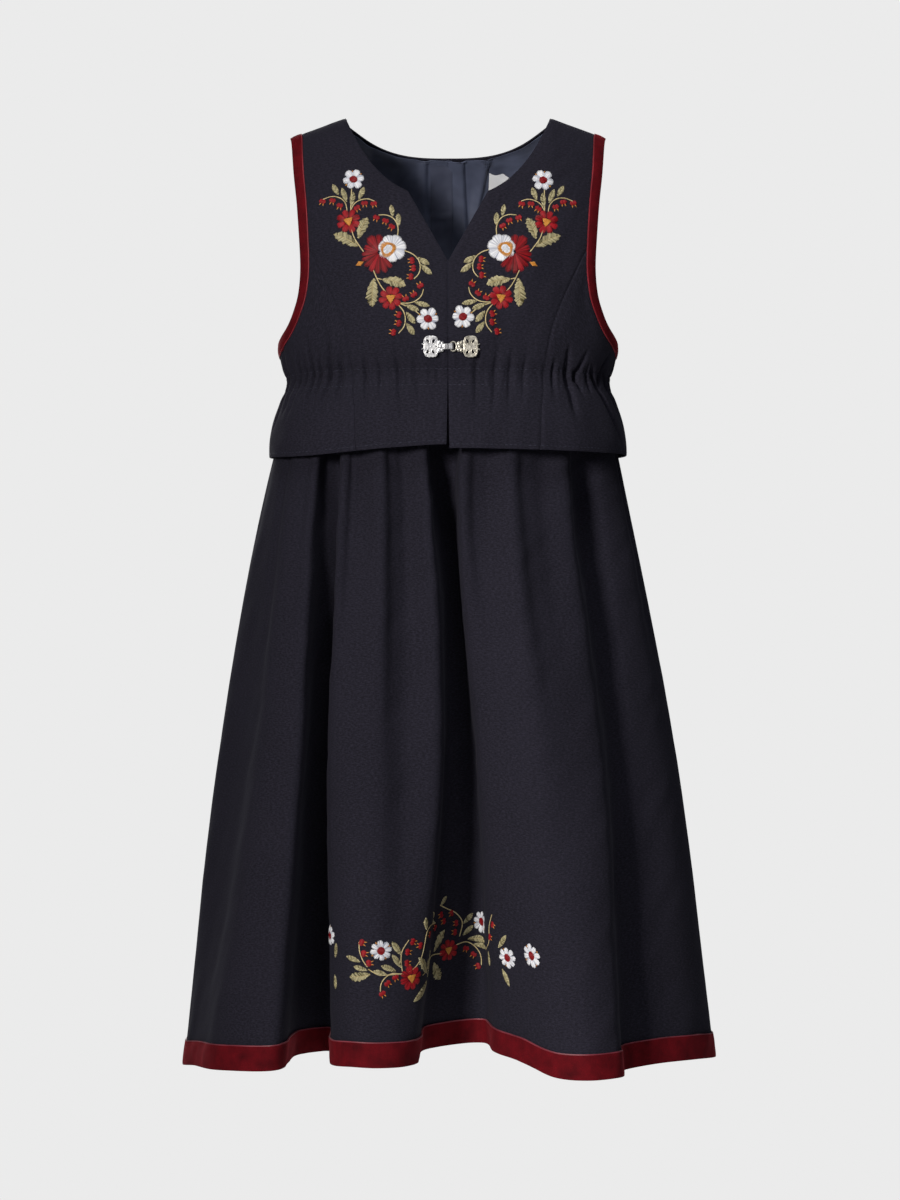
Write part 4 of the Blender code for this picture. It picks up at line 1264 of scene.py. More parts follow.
@dataclass
class BackLining:
    """The satin lining inside the back neck, the placket down its middle, and the bare label."""

    finishes: Finishes
    pattern: Pattern = Pattern()
    corner: NeckCorner = NeckCorner()
    lining: float = 1.0 * MM
    wall: float = 0.7 * MM
    gap: float = 0.2 * MM
    below_wool: float = 0.9 * MM
    reach: float = 0.96
    low_row: float = 0.45
    ease: float = 1.1 * MM
    wear: float = 0.5 * MM
    held_edge: float = 1.5 * MM
    free_below: float = 10 * MM
    columns: int = 150
    folds: tuple[LiningFold, ...] = (
        LiningFold(-66, 1.6, 5, 5),
        LiningFold(-40, 0.8, 9, 9),
        LiningFold(-18.5, 1.7, 5, 1.0),
        LiningFold(14.4, 2.7, 8, 1.0, -0.09),
        LiningFold(26.2, 2.4, 5, 1.0, 0.18),
        LiningFold(58, 1.2, 6, 6),
    )
    placket: Spot = (-0.075, 0.012)
    label_across: Spot = (0.2085, 0.405)
    label_up: Spot = (0.75, 0.8145)
    cross_seam: float = -66 * MM
    seam_sink: float = 0.9 * MM
    seam_reach: float = 1.0 * MM

    def sheet(self, layer: Layer, across: Array, up: Array, depth: float) -> Pair:
        """Points and ways out of a layer inside the back.

        Args:
            layer: which layer.
            across: signed shares of the back panels' width, rising from the left to the right.
            up: shares of their height.
            depth: how far the layer's outer face lies inside the back's.

        Returns:
            The layer's points and the way out at each.
        """
        halves = []
        for side in Side:
            part = np.abs(across[across < 0] if side is Side.LEFT else across[across >= 0])
            if part.size:
                points = self.pattern.body.point(*self.pattern.patch(Part.BACK, side, part, up))
                outs = self.pattern.body.normal(points)
                points = self.corner.drawn(points)
                points = points + np.array([self.pattern.seam / 2 if part.size > 1 else 0, 0, 0])
                points[..., 1] += self.pattern.seam / 2
                mirror = np.array([side.sign, 1, 1])
                halves.append((points * mirror, outs * mirror))
        points, outs = (np.concatenate(arrays, axis=1) for arrays in zip(*halves))
        x, z, rise = points[..., 0], points[..., 2], lengths(points, 0)
        loose = eased((rise[-1:] - rise - self.held_edge) / self.free_below)
        uneven = layer.wrinkle * (1 + waves(x * 2.2, z * 0.5, 40 * MM, 31))
        sunk = (self.ease + self.wear * uneven) * loose
        sunk = sunk + layer.cross * self.seam_sink * bell(z - self.cross_seam, self.seam_reach)
        for fold in self.folds:
            sunk = sunk + layer.wrinkle * loose * fold.raised(x, z)
        return points - outs * (depth + sunk)[..., None], outs

    def make(self, layer: Layer, across: Array, up: Array, depth: float, finish: Material) -> Piece:
        """Makes and reports one layer inside the back."""
        points, outs = self.sheet(layer, across, up, depth)
        piece = sewn_cloth(layer.name, points, outs, self.wall, finish)
        return declare(piece, points, layer.slot, layer.node)

    def build(self) -> list[Piece]:
        """Makes the two lining halves, the placket and the label.

        Returns:
            The layers.
        """
        finishes = self.finishes
        depth = self.pattern.wool + self.pattern.seam + self.below_wool
        up = np.linspace(self.low_row, 1, 84)
        half = np.linspace(0.0, self.reach, self.columns)
        left = np.array([*-half[:0:-1], -1e-6])
        layers = []
        for side, across in ((Side.LEFT, left), (Side.RIGHT, half)):
            layer = Layer(f"lining_cloth_{side.value}", f"lining_{side.value}", "lining", 1.0)
            layers.append(self.make(layer, across, up, depth, finishes.lining))
        depth += self.lining + self.gap
        up, across = np.linspace(self.low_row, self.pattern.back_neck_row, 60), np.linspace(*self.placket, 22)
        layer = Layer("placket_cloth", "placket_back", "lining", 0.5, 1.0)
        layers.append(self.make(layer, across, up, depth, finishes.placket))
        up, across = np.linspace(*self.label_up, 12), np.linspace(*self.label_across, 24)
        layer = Layer("label_tape", "neck_label", "label", 0.3)
        layers.append(self.make(layer, across, up, depth, finishes.label))
        return layers


# The skirt


@dataclass(frozen=True)
class SkirtFold:
    """Where a crest or valley lies below the peplum, half-way down and at the hem, in millimetres."""

    name: str
    hip: Spot
    mid: Spot
    hem: Place


FRONT_FOLDS = (
    SkirtFold("side_left", (-145.5, 0), (-188, 0), (-215, 4, -767)),
    SkirtFold("side_valley_left", (-136, -30), (-160, -56), (-199, -54, -758)),
    SkirtFold("broad_left_outer", (-119, -54), (-145, -90), (-173, -112, -750)),
    SkirtFold("broad_left_inner", (-103, -65), (-116, -107), (-134, -134, -746)),
    SkirtFold("left_valley_outer", (-95, -53), (-106, -64), (-116, -68, -746)),
    SkirtFold("left_valley_inner", (-88, -51), (-94, -50), (-97, -50, -747)),
    SkirtFold("middle_left", (-81, -77), (-90, -98), (-84, -120, -745)),
    SkirtFold("middle_dip", (-70, -75), (-76, -110), (-72, -134, -743)),
    SkirtFold("middle", (-51, -87), (-51, -115), (-55, -139, -743)),
    SkirtFold("middle_dip_right", (-36, -78), (-34, -105), (-41, -137, -743)),
    SkirtFold("middle_right", (-18, -88), (-8, -105), (-29, -122, -744)),
    SkirtFold("centre_valley_left", (-6, -61), (2, -63), (-17, -64, -743)),
    SkirtFold("centre_valley_right", (3, -59), (17, -55), (31, -53, -740)),
    SkirtFold("plateau_left", (12, -85), (25, -89), (38, -79, -742)),
    SkirtFold("plateau_dip", (29, -80), (43, -103), (58, -105, -745)),
    SkirtFold("plateau", (50, -87), (71, -114), (86, -134, -752)),
    SkirtFold("plateau_dip_right", (73, -72), (97, -106), (107, -141, -752)),
    SkirtFold("plateau_right", (92, -67), (118, -92), (128, -131, -752)),
    SkirtFold("right_valley", (106, -39), (129, -58), (139, -83, -755)),
    SkirtFold("right_crest", (124, -33), (151, -46), (166, -69, -753)),
    SkirtFold("right_slope", (136, -19), (173, -27), (196, -44, -755)),
)
BACK_FOLDS = (
    SkirtFold("side_right", (141.5, 0), (186.5, 0), (217, 0, -761)),
    SkirtFold("back_crest_1", (132, 32), (171, 46), (199, 56, -762)),
    SkirtFold("back_valley_1", (113, 42), (146, 53), (171, 64, -757)),
    SkirtFold("back_crest_2", (98, 64), (130, 93), (146, 119, -764)),
    SkirtFold("back_valley_2", (79, 56), (109, 71), (123, 90, -758)),
    SkirtFold("back_crest_3", (60, 77), (86, 103), (96, 124, -759)),
    SkirtFold("back_valley_3", (43, 62), (49, 71), (51, 79, -755)),
    SkirtFold("back_crest_4", (21, 80), (21, 113), (18, 138, -765)),
    SkirtFold("back_valley_4", (0, 66), (-1, 78), (-1, 93, -758)),
    SkirtFold("back_crest_5", (-20, 80), (-27, 107), (-30, 126, -760)),
    SkirtFold("back_valley_5", (-42, 61), (-59, 70), (-70, 81, -755)),
    SkirtFold("back_crest_6", (-62, 76), (-88, 106), (-101, 132, -765)),
    SkirtFold("back_valley_6", (-82, 54), (-106, 67), (-118, 80, -759)),
    SkirtFold("back_crest_7", (-101, 61), (-133, 81), (-150, 98, -760)),
    SkirtFold("back_valley_7", (-117, 41), (-152, 49), (-180, 53, -758)),
    SkirtFold("back_crest_8", (-135, 31), (-175, 43), (-203, 46, -765)),
)


@dataclass(frozen=True)
class SkirtForm:
    """The skirt's outer face. Around counts the folds from the left side seam, and down runs to 1."""

    pattern: Pattern = Pattern()
    top: float = -209 * MM
    tuck: float = 6.0 * MM
    drop: float = 543 * MM
    levels: tuple[float, ...] = (0.0, 0.142, 0.567, 1.0)
    hip_half: float = 142 * MM
    hip_front: float = 88 * MM
    hip_back: float = 80 * MM

    def crests(self, down: Array) -> Array:
        """The lines of all crests and valleys at some heights: one row for each fold."""
        body = self.pattern.body
        lines = []
        for fold in FRONT_FOLDS + BACK_FOLDS:
            depth = self.hip_front if fold.hip[1] <= 0 else self.hip_back
            turn = math.atan2(abs(fold.hip[0]) * MM / self.hip_half, -fold.hip[1] * MM / depth)
            seam = body.point(turn, self.top)
            seam = seam - body.normal(seam[None])[0] * (self.pattern.wool + self.tuck)
            x, y = ([row[i] * MM for row in (fold.hip, fold.mid, fold.hem)] for i in (0, 1))
            x = through(self.levels, [math.copysign(seam[0], fold.hip[0]), *x], down)
            y = through(self.levels, [seam[1], *y], down)
            lines.append(np.stack((x, y, self.top + down * (fold.hem[2] * MM - self.top)), axis=-1))
        return np.array(lines)

    def grid(self, around: Array, down: Array) -> Array:
        """Points of the outer face, a row for each height."""
        lines = self.crests(down)
        span = np.floor(around).astype(int)
        f = (around - span)[:, None, None]
        before, start, end, after = (lines[(span + shift) % len(lines)] for shift in (-1, 0, 1, 2))
        spans = (start - before, end - start, after - end)
        first, middle, last = (np.linalg.norm(span, axis=-1, keepdims=True) for span in spans)
        rise = end - start
        leave = ((start - before) / first * middle + rise / middle * first) / (first + middle)
        reach = (rise / middle * last + (after - end) / last * middle) / (middle + last)
        bent = (1 - f) * (leave * middle - rise) + f * (rise - reach * middle)
        return (start + f * rise + f * (1 - f) * bent).transpose(1, 0, 2)

    def outs(self, around: Array, down: Array) -> Array:
        """The way out of the cloth on the same grid."""
        step, fall = 0.02, 0.004
        along = self.grid(around + step, down) - self.grid(around - step, down)
        low, high = np.minimum(1, down + fall), np.maximum(0, down - fall)
        falling = self.grid(around, low) - self.grid(around, high)
        return unit(np.cross(falling, along))


@dataclass(frozen=True)
class SkirtCrease:
    """A soft trough in the skirt: where it starts and ends, its depth in millimetres, and half its width."""

    top_around: float
    end_around: float
    top: float
    end: float
    depth: float
    width: float

    def sunk(self, around: Array, down: Array) -> Array:
        """How far the crease sinks the cloth."""
        share = np.clip((down - self.top) / (self.end - self.top), 0, 1)
        middle = self.top_around + share * (self.end_around - self.top_around)
        fade = eased((down - self.top) / 0.06) * eased((self.end - down) / (0.45 * (self.end - self.top)))
        width = self.width * (0.7 + 0.8 * share)
        return self.depth * MM * fade * bell(around - middle, width)


CREASES: tuple[SkirtCrease, ...] = (
    SkirtCrease(1.5, 1.4, 0.05, 0.6, 2.4, 0.22),
    SkirtCrease(2.5, 2.4, 0.05, 0.4, 2.0, 0.20),
    SkirtCrease(6.6, 6.5, 0.05, 0.5, 1.6, 0.20),
    SkirtCrease(8.4, 8.5, 0.05, 0.62, 1.8, 0.25),
    SkirtCrease(10.5, 10.4, 0.05, 0.35, 1.6, 0.20),
    SkirtCrease(13.5, 13.7, 0.05, 0.42, 1.6, 0.22),
    SkirtCrease(15.4, 15.5, 0.05, 0.6, 2.2, 0.25),
    SkirtCrease(17.5, 17.5, 0.05, 0.35, 1.4, 0.20),
    SkirtCrease(20.4, 20.5, 0.05, 0.5, 2.0, 0.20),
    SkirtCrease(22.4, 22.5, 0.05, 0.4, 1.8, 0.18),
    SkirtCrease(24.6, 24.4, 0.05, 0.55, 1.8, 0.20),
    SkirtCrease(26.5, 26.5, 0.05, 0.35, 1.5, 0.18),
    SkirtCrease(28.4, 28.6, 0.05, 0.6, 2.0, 0.20),
    SkirtCrease(30.6, 30.5, 0.05, 0.38, 1.6, 0.18),
    SkirtCrease(32.4, 32.4, 0.05, 0.5, 1.9, 0.20),
    SkirtCrease(34.5, 34.6, 0.05, 0.42, 1.7, 0.18),
    SkirtCrease(36.4, 36.3, 0.05, 0.55, 1.9, 0.20),
)


@dataclass
class Skirt:
    """The skirt's front and back with the velvet ribbon round the hem."""

    finishes: Finishes
    form: SkirtForm = SkirtForm()
    wall: float = 1.5 * MM
    ribbon: float = 19 * MM
    ribbon_line: float = 0.9 * MM
    fold_steps: int = 15
    rows: int = 120
    ribbon_rows: int = 12
    seam_share: float = -0.1 / 30
    broad_wear: float = 0.8 * MM
    fine_wear: float = 0.35 * MM
    calm: float = 12 * MM
    seam_sink: float = 0.5 * MM
    seam_reach: float = 1.2 * MM
    ribbon_wall: float = 0.98 * MM
    ribbon_gap: float = 0.25 * MM
    ribbon_swell: float = 0.35 * MM
    ribbon_ripple: float = 0.14 * MM
    ribbon_drop: float = 0.4 * MM

    def stops(self, run: Run) -> Array:
        """The places round the skirt of one half's columns."""
        first = 0 if run is Run.FRONT else len(FRONT_FOLDS)
        count = len(FRONT_FOLDS if run is Run.FRONT else BACK_FOLDS)
        return first + np.linspace(self.seam_share, count - self.seam_share, count * self.fold_steps + 1)

    def sunk(self, around: Array, down: Array, points: Array) -> Array:
        """How far creases and soft wear sink the cloth on a grid."""
        a, d = around[None, :], down[:, None]
        total = sum(crease.sunk(a, d) for crease in CREASES)
        run, drop = lengths(points, 1), self.form.drop * d
        total = total + self.broad_wear * waves(run, drop * 0.35, 70 * MM, 91) * eased(d / 0.2)
        total = total + self.fine_wear * waves(run, drop * 0.6, 28 * MM, 92)
        seam = np.minimum(run, run[:, -1:] - run)
        return total * eased(seam / self.calm) + self.seam_sink * bell(seam, self.seam_reach)

    def surface(self, around: Array, down: Array) -> Pair:
        """Points and ways out of the skirt's outer face, creases and all."""
        points, outs = self.form.grid(around, down), self.form.outs(around, down)
        return points - outs * self.sunk(around, down, points)[..., None], outs

    def build(self) -> list[Piece]:
        """Makes both halves and their ribbons.

        Returns:
            The pieces.
        """
        pieces = []
        for run in Run:
            around = self.stops(run)
            down = np.concatenate((np.linspace(0, 0.995, self.rows), [0.998, 1.0]))
            points, outs = self.surface(around, down)
            name = f"skirt_{run.value}"
            cloth = sewn_cloth(f"{name}_cloth", points, outs, self.wall, self.finishes.wool)
            pieces += [declare(cloth, points, "wool", name), self.hem_ribbon(run, around)]
        return pieces

    def hem_ribbon(self, run: Run, around: Array) -> Piece:
        """Makes the ribbon on one half's hem.

        Args:
            run: which half.
            around: the places of its columns.

        Returns:
            The ribbon.
        """
        share = np.array([0, 0.045, 0.09, *np.linspace(0.16, 0.93, self.ribbon_rows), 0.975, 1.0])
        down = 1 - self.ribbon / self.form.drop * (1 - share)
        points, outs = self.surface(around, down)
        plump = self.ribbon_swell * np.sin(math.pi * np.clip(share, 0.02, 0.98)) ** 0.5
        ripple = self.ribbon_ripple * waves(lengths(points, 1), share[:, None] * self.ribbon, 16 * MM, 55)
        lift = self.ribbon_gap + self.ribbon_wall + plump[:, None] + ripple
        points = points + outs * lift[..., None]
        points[-1, :, 2] -= self.ribbon_drop
        name = f"hem_ribbon_{run.value}"
        piece = sewn_cloth(f"{name}_velvet", points, outs, self.ribbon_wall, self.finishes.velvet)
        mark_edge(piece, self.finishes.piping, points, self.ribbon_line)
        return declare(piece, points[::-1], "velvet", name)


# Embroidery


class Yarn(Enum):
    """The flosses of the embroidery, in the order of a motif's material slots."""

    WHITE = 0
    RED = 1
    CRIMSON = 2
    OLIVE = 3
    GOLD = 4
    STRAW = 5

    def finish(self) -> Floss:
        """The finish of this floss."""
        return {
            Yarn.WHITE: Floss("white floss", "#a9aebd", "#f4f5f8", 0.55),
            Yarn.RED: Floss("red floss", "#5c0710", "#ab1c26"),
            Yarn.CRIMSON: Floss("crimson floss", "#45050b", "#97121c"),
            Yarn.OLIVE: Floss("olive floss", "#524b2c", "#c3ba92"),
            Yarn.GOLD: Floss("gold floss", "#a7611c", "#e0a04a"),
            Yarn.STRAW: Floss("straw floss", "#a08c58", "#e2d2a2"),
        }[self]


class Ground:
    """Cloth that stitches are sewn on, read by places in metres."""

    def seat(self, places: Array) -> Pair:
        """Points on the cloth and the way out of it, at some places."""
        raise NotImplementedError


class FrontGround(Ground):
    """The front of the bodice, read by places across and up it."""

    def __init__(self, cloth: Piece) -> None:
        """Keeps a panel.

        Args:
            cloth: the panel that is sewn on.
        """
        self.cloth = cloth

    def seat(self, places: Array) -> Pair:
        """Points on the panel behind some places, and the way out of it there."""
        points, outs = np.zeros((len(places), 3)), np.zeros((len(places), 3))
        for i, (x, z) in enumerate(places):
            found, point, out, _ = self.cloth.ray_cast((x, -0.5, z), (0, 1, 0))
            points[i], outs[i] = (point, out) if found else ((x, np.nan, z), (0, -1, 0))
        return points, outs


class SheetGround(Ground):
    """A sheet of points, read by lengths along one of its rows and up its columns."""

    def __init__(self, points: Array, outs: Array, row: int) -> None:
        """Keeps a sheet.

        Args:
            points: its points, from the top row to the bottom.
            outs: the way out at each.
            row: the row along which lengths across are measured.
        """
        self.points, self.outs = points, outs
        self.along = lengths(points[row : row + 1], 1)[0]
        fall = lengths(points[:, :1], 0)[:, 0]
        self.rise = fall[-1] - fall
        rows, columns = points.shape[:2]
        corner = (np.arange(rows - 1)[:, None] * columns + np.arange(columns - 1)).ravel()
        quads = np.stack((corner, corner + 1, corner + columns + 1, corner + columns), axis=-1)
        self.tree = BVHTree.FromPolygons(points.reshape(-1, 3).tolist(), quads.tolist())

    def behind(self, eye: Array, spot: Array) -> Spot:
        """Finds the first place of the sheet behind a spot.

        Args:
            eye: where it is seen from.
            spot: the spot looked at.

        Returns:
            The place's length across the sheet and above its last row, in millimetres.
        """
        seat, _, quad, _ = self.tree.ray_cast(eye.tolist(), (spot - eye).tolist())
        if quad is None:
            raise ValueError(f"no cloth lies behind {spot}")
        row, column = divmod(quad, self.points.shape[1] - 1)
        corner = self.points[row, column]
        shares = []
        for beside in (self.points[row, column + 1], self.points[row + 1, column]):
            way = beside - corner
            shares.append(float(np.dot(np.array(seat) - corner, way) / np.dot(way, way)))
        across = np.interp(column + shares[0], np.arange(len(self.along)), self.along)
        up = np.interp(row + shares[1], np.arange(len(self.rise)), self.rise)
        return float(across) / MM, float(up) / MM

    def seat(self, places: Array) -> Pair:
        """Points and ways out at lengths across the sheet and above its last row."""
        rows, columns = self.points.shape[:2]
        column = np.clip(np.interp(places[:, 0], self.along, np.arange(columns)), 0, columns - 1.001)
        row = np.clip(np.interp(-places[:, 1], -self.rise, np.arange(rows)), 0, rows - 1.001)
        c, r = column.astype(int), row.astype(int)
        fc, fr = (column - c)[:, None], (row - r)[:, None]
        read = []
        for grid in (self.points, self.outs):
            low = grid[r, c] * (1 - fc) + grid[r, c + 1] * fc
            high = grid[r + 1, c] * (1 - fc) + grid[r + 1, c + 1] * fc
            read.append(low * (1 - fr) + high * fr)
        return read[0], unit(read[1])


# A stitch's stations from end to end, with its width, arch and crown at each, as shares
STATIONS = np.array([0.0, 0.13, 0.5, 0.87, 1.0])
SLIMNESS = np.array([0.3, 0.85, 1.0, 0.85, 0.3])
ARCH = np.array([0.0, 0.62, 1.0, 0.62, 0.0])
CROWN = np.array([0.1, 0.8, 1.0, 0.8, 0.1])
CROWN_SHARE = 0.6
# In millimetres
HIGHEST_CROWN = 0.3
STITCH_ROOT = -0.08


@dataclass
class Stitches:
    """Stitches gathered before they are sewn: each has two ends, a width at each end, a swell and a shade."""

    starts: list[Array] = field(default_factory=list)
    ends: list[Array] = field(default_factory=list)
    widths: list[Array] = field(default_factory=list)
    swells: list[Array] = field(default_factory=list)
    lifts: list[Array] = field(default_factory=list)
    shades: list[Array] = field(default_factory=list)
    yarns: list[Array] = field(default_factory=list)

    def add(
        self, yarn: Yarn, starts: Array, ends: Array, widths: Array, swell: float, lift: float, shades: Array
    ) -> None:
        """Adds stitches of one floss.

        Args:
            yarn: the floss.
            starts: where each comes up, in millimetres.
            ends: where each goes down.
            widths: its width at both ends, or one for all.
            swell: how far its middle rises, in millimetres.
            lift: how far all of it lies above the cloth.
            shades: how light each is, from 0 to 1.
        """
        count = len(starts)
        self.starts.append(np.asarray(starts, float))
        self.ends.append(np.asarray(ends, float))
        self.widths.append(np.broadcast_to(np.asarray(widths, float), (count, 2)))
        self.swells.append(np.full(count, swell))
        self.lifts.append(np.full(count, lift))
        self.shades.append(np.broadcast_to(np.asarray(shades, float), (count,)))
        self.yarns.append(np.full(count, yarn.value))

    def sew(self, name: str, ground: Ground, place: Callable[[Array], Array]) -> Piece:
        """Makes every stitch as a small rounded ridge on the cloth.

        Args:
            name: the piece's name.
            ground: the cloth below.
            place: turns a motif's millimetres into the cloth's metres.

        Returns:
            One piece with all the stitches.
        """
        starts, ends, widths = (np.concatenate(rows) for rows in (self.starts, self.ends, self.widths))
        swells, lifts = np.concatenate(self.swells), np.concatenate(self.lifts)
        shades, yarns = np.concatenate(self.shades), np.concatenate(self.yarns)
        way = ends - starts
        side = np.stack((-way[:, 1], way[:, 0]), axis=-1)
        side = side / np.maximum(np.linalg.norm(side, axis=-1, keepdims=True), 1e-9)
        middles = starts[:, None] + STATIONS[None, :, None] * way[:, None]
        half = (widths[:, :1] * (1 - STATIONS) + widths[:, 1:] * STATIONS) * SLIMNESS / 2
        seats, outs = (read.reshape(len(starts), 5, 3) for read in ground.seat(place(middles.reshape(-1, 2))))
        beside, _ = ground.seat(place((middles[:, 2] + side * 0.5)))
        across = unit(beside - seats[:, 2])
        height = lifts[:, None] + swells[:, None] * ARCH
        crown = np.minimum(HIGHEST_CROWN, CROWN_SHARE * half) * CROWN
        rows = []
        for offset in (-1, 0, 1):
            level = (height + (STITCH_ROOT if offset else crown)) * MM
            shift = across[:, None] * (half * offset * MM)[..., None]
            rows.append(seats + shift + outs * level[..., None])
        points = np.stack(rows, axis=2)
        kept = ~np.isnan(points).any(axis=(1, 2, 3))
        points, outs = points[kept], outs[kept]
        way, beside = points[:, 3, 1] - points[:, 1, 1], points[:, 2, 2] - points[:, 2, 0]
        turned = (np.cross(way, beside) * outs[:, 2]).sum(axis=-1) < 0
        points[turned] = points[turned][:, :, ::-1]
        return ridge_mesh(name, points, yarns[kept], shades[kept])


def ridge_mesh(name: str, points: Array, slots: Array, shades: Array) -> Piece:
    """Makes one mesh of small ridges.

    Args:
        name: the piece's name.
        points: ridges by five stations by three points across.
        slots: the material slot of each ridge.
        shades: how light each is.

    Returns:
        The piece, without its materials.
    """
    count = len(points)
    corners = np.arange(count * 15).reshape(count, 5, 3)
    faces = np.stack(
        (corners[:, :-1, :-1], corners[:, 1:, :-1], corners[:, 1:, 1:], corners[:, :-1, 1:]), axis=-1
    ).reshape(-1, 4)
    mesh = bpy.data.meshes.new(name)
    mesh.vertices.add(count * 15)
    mesh.vertices.foreach_set("co", points.astype(np.float32).ravel())
    mesh.loops.add(faces.size)
    mesh.loops.foreach_set("vertex_index", faces.astype(np.int32).ravel())
    mesh.polygons.add(len(faces))
    mesh.polygons.foreach_set("loop_start", np.arange(0, faces.size, 4, dtype=np.int32))
    mesh.update(calc_edges=True)
    mesh.polygons.foreach_set("material_index", np.repeat(slots, 8).astype(np.int32))
    shade = mesh.attributes.new("shade", "FLOAT", "POINT")
    shade.data.foreach_set("value", np.repeat(shades, 15).astype(np.float32))
    mesh.shade_smooth()
    piece = bpy.data.objects.new(name, mesh)
    bpy.context.scene.collection.objects.link(piece)
    return piece


def heading(angle: Array) -> Array:
    """Unit steps in some directions, in radians."""
    return np.stack((np.cos(angle), np.sin(angle)), axis=-1)


def beyond(middle: Spot, turn: float, reach: float) -> Spot:
    """The place at a distance from a middle, in a direction in degrees."""
    return tuple(np.array(middle) + heading(math.radians(turn)) * reach)


class Element:
    """One part of a motif, which adds its stitches to the rest."""

    def stitch(self, stitches: Stitches, dice: np.random.Generator) -> None:
        """Adds this part's stitches."""
        raise NotImplementedError


@dataclass(frozen=True)
class Petal(Element):
    """A fan of satin stitches from a middle out to a rounded rim. Turns are in degrees."""

    middle: Spot
    turn: float
    spread: float
    inner: float
    outer: float
    yarn: Yarn
    roundness: float = 0.3
    lift: float = 0.12
    swell: float = 0.32
    pitch: float = 0.66

    def stitch(self, stitches: Stitches, dice: np.random.Generator) -> None:
        """Adds the petal's fan, with painted shade darkening its sides where it meets the next petal."""
        half = math.radians(self.spread) / 2
        count = max(4, round(2 * half * 0.8 * self.outer / self.pitch))
        share = np.linspace(-1, 1, count)
        angle = math.radians(self.turn) + share * half
        rim = self.outer * (1 - self.roundness * np.abs(share) ** 2.8) + dice.normal(0, 0.1, count)
        root = self.inner * (1 + dice.normal(0, 0.06, count))
        starts = np.array(self.middle) + heading(angle) * root[:, None]
        ends = np.array(self.middle) + heading(angle) * rim[:, None]
        step = 2 * half / count
        widths = np.stack((np.maximum(0.3, root * step * 1.4), rim * step * 1.2), axis=-1)
        # Painted shade: the stitches darken towards the petal's sides, where it meets the next petal, over a
        # random tone for each stitch.
        shades = 0.78 - 0.6 * np.abs(share) ** 3 + dice.normal(0, 0.27, count)
        stitches.add(self.yarn, starts, ends, widths, self.swell, self.lift, np.clip(shades, 0, 1))


@dataclass(frozen=True)
class Pad(Element):
    """A raised patch of close satin stitches, lying one way, in an oval or a cornered outline."""

    middle: Spot
    length: float
    width: float
    turn: float
    yarn: Yarn
    cornered: bool = False
    lift: float = 0.5
    swell: float = 0.35
    pitch: float = 0.4

    def stitch(self, stitches: Stitches, dice: np.random.Generator) -> None:
        """Adds the patch, stitch beside stitch."""
        count = max(3, round(self.width / self.pitch))
        share = np.linspace(-0.94, 0.94, count)
        reach = np.sqrt(1 - share**2)
        if self.cornered:
            reach = 1 - np.abs(share) ** 0.9 * 0.85
        along, across = heading(math.radians(self.turn)), heading(math.radians(self.turn + 90))
        middles = np.array(self.middle) + across * (share * self.width / 2)[:, None]
        ragged = 1 + dice.normal(0, 0.06, (2, count))
        starts = middles - along * (reach * ragged[0] * self.length / 2)[:, None]
        ends = middles + along * (reach * ragged[1] * self.length / 2)[:, None]
        shades = np.clip(0.65 + dice.normal(0, 0.16, count), 0, 1)
        stitches.add(self.yarn, starts, ends, self.pitch * 1.3, self.swell, self.lift, shades)


@dataclass(frozen=True)
class Blossom(Element):
    """A round flower: its petals, its middle, and small points of gold between the petals."""

    middle: Spot
    radius: float
    petals: int
    turn: float
    yarn: Yarn
    core: Yarn
    roundness: float
    points: tuple[int, ...] = ()

    def stitch(self, stitches: Stitches, dice: np.random.Generator) -> None:
        """Adds petals, gold points and the middle."""
        step, size = 360 / self.petals, self.radius
        for i in self.points:
            turn = self.turn + (i + 0.5) * step
            spot = beyond(self.middle, turn, 0.84 * size)
            Pad(spot, 2.1, 1.1, turn, Yarn.GOLD, True, 0.05, 0.2).stitch(stitches, dice)
        for i in range(self.petals):
            outer, lift = size * (1 + dice.normal(0, 0.03)), 0.15 + 0.12 * (i % 2)
            turn, spread = self.turn + i * step, 0.95 * step
            petal = Petal(self.middle, turn, spread, 0.3 * size, outer, self.yarn, self.roundness, lift)
            petal.stitch(stitches, dice)
        core = [
            Pad(self.middle, 0.74 * size, 0.74 * size, self.turn, self.core, False, 0.42, 0.45),
            Pad(self.middle, 0.5 * size, 0.5 * size, self.turn + 80, self.core, False, 0.7, 0.3),
        ]
        if self.core is Yarn.GOLD:
            core = []
            for turn in (self.turn + 20, self.turn + 140, self.turn + 260):
                spot = beyond(self.middle, turn, 0.16 * size)
                core.append(Pad(spot, 0.62 * size, 0.36 * size, turn, Yarn.GOLD, True, 0.45, 0.3))
        for pad in core:
            pad.stitch(stitches, dice)


@dataclass(frozen=True)
class Fan(Element):
    """A flower seen from its side: petals of several sizes that spread from one point."""

    middle: Spot
    petals: tuple[Place, ...]
    yarn: Yarn = Yarn.CRIMSON
    inner: float = 1.5

    def stitch(self, stitches: Stitches, dice: np.random.Generator) -> None:
        """Adds each petal, every other one a little higher."""
        for i, (turn, width, outer) in enumerate(self.petals):
            yarn, lift = (Yarn.RED if i % 4 == 2 else self.yarn), 0.12 + 0.22 * (i % 2)
            petal = Petal(self.middle, turn, 0.9 * width, self.inner, outer, yarn, 0.16, lift, 0.4)
            petal.stitch(stitches, dice)


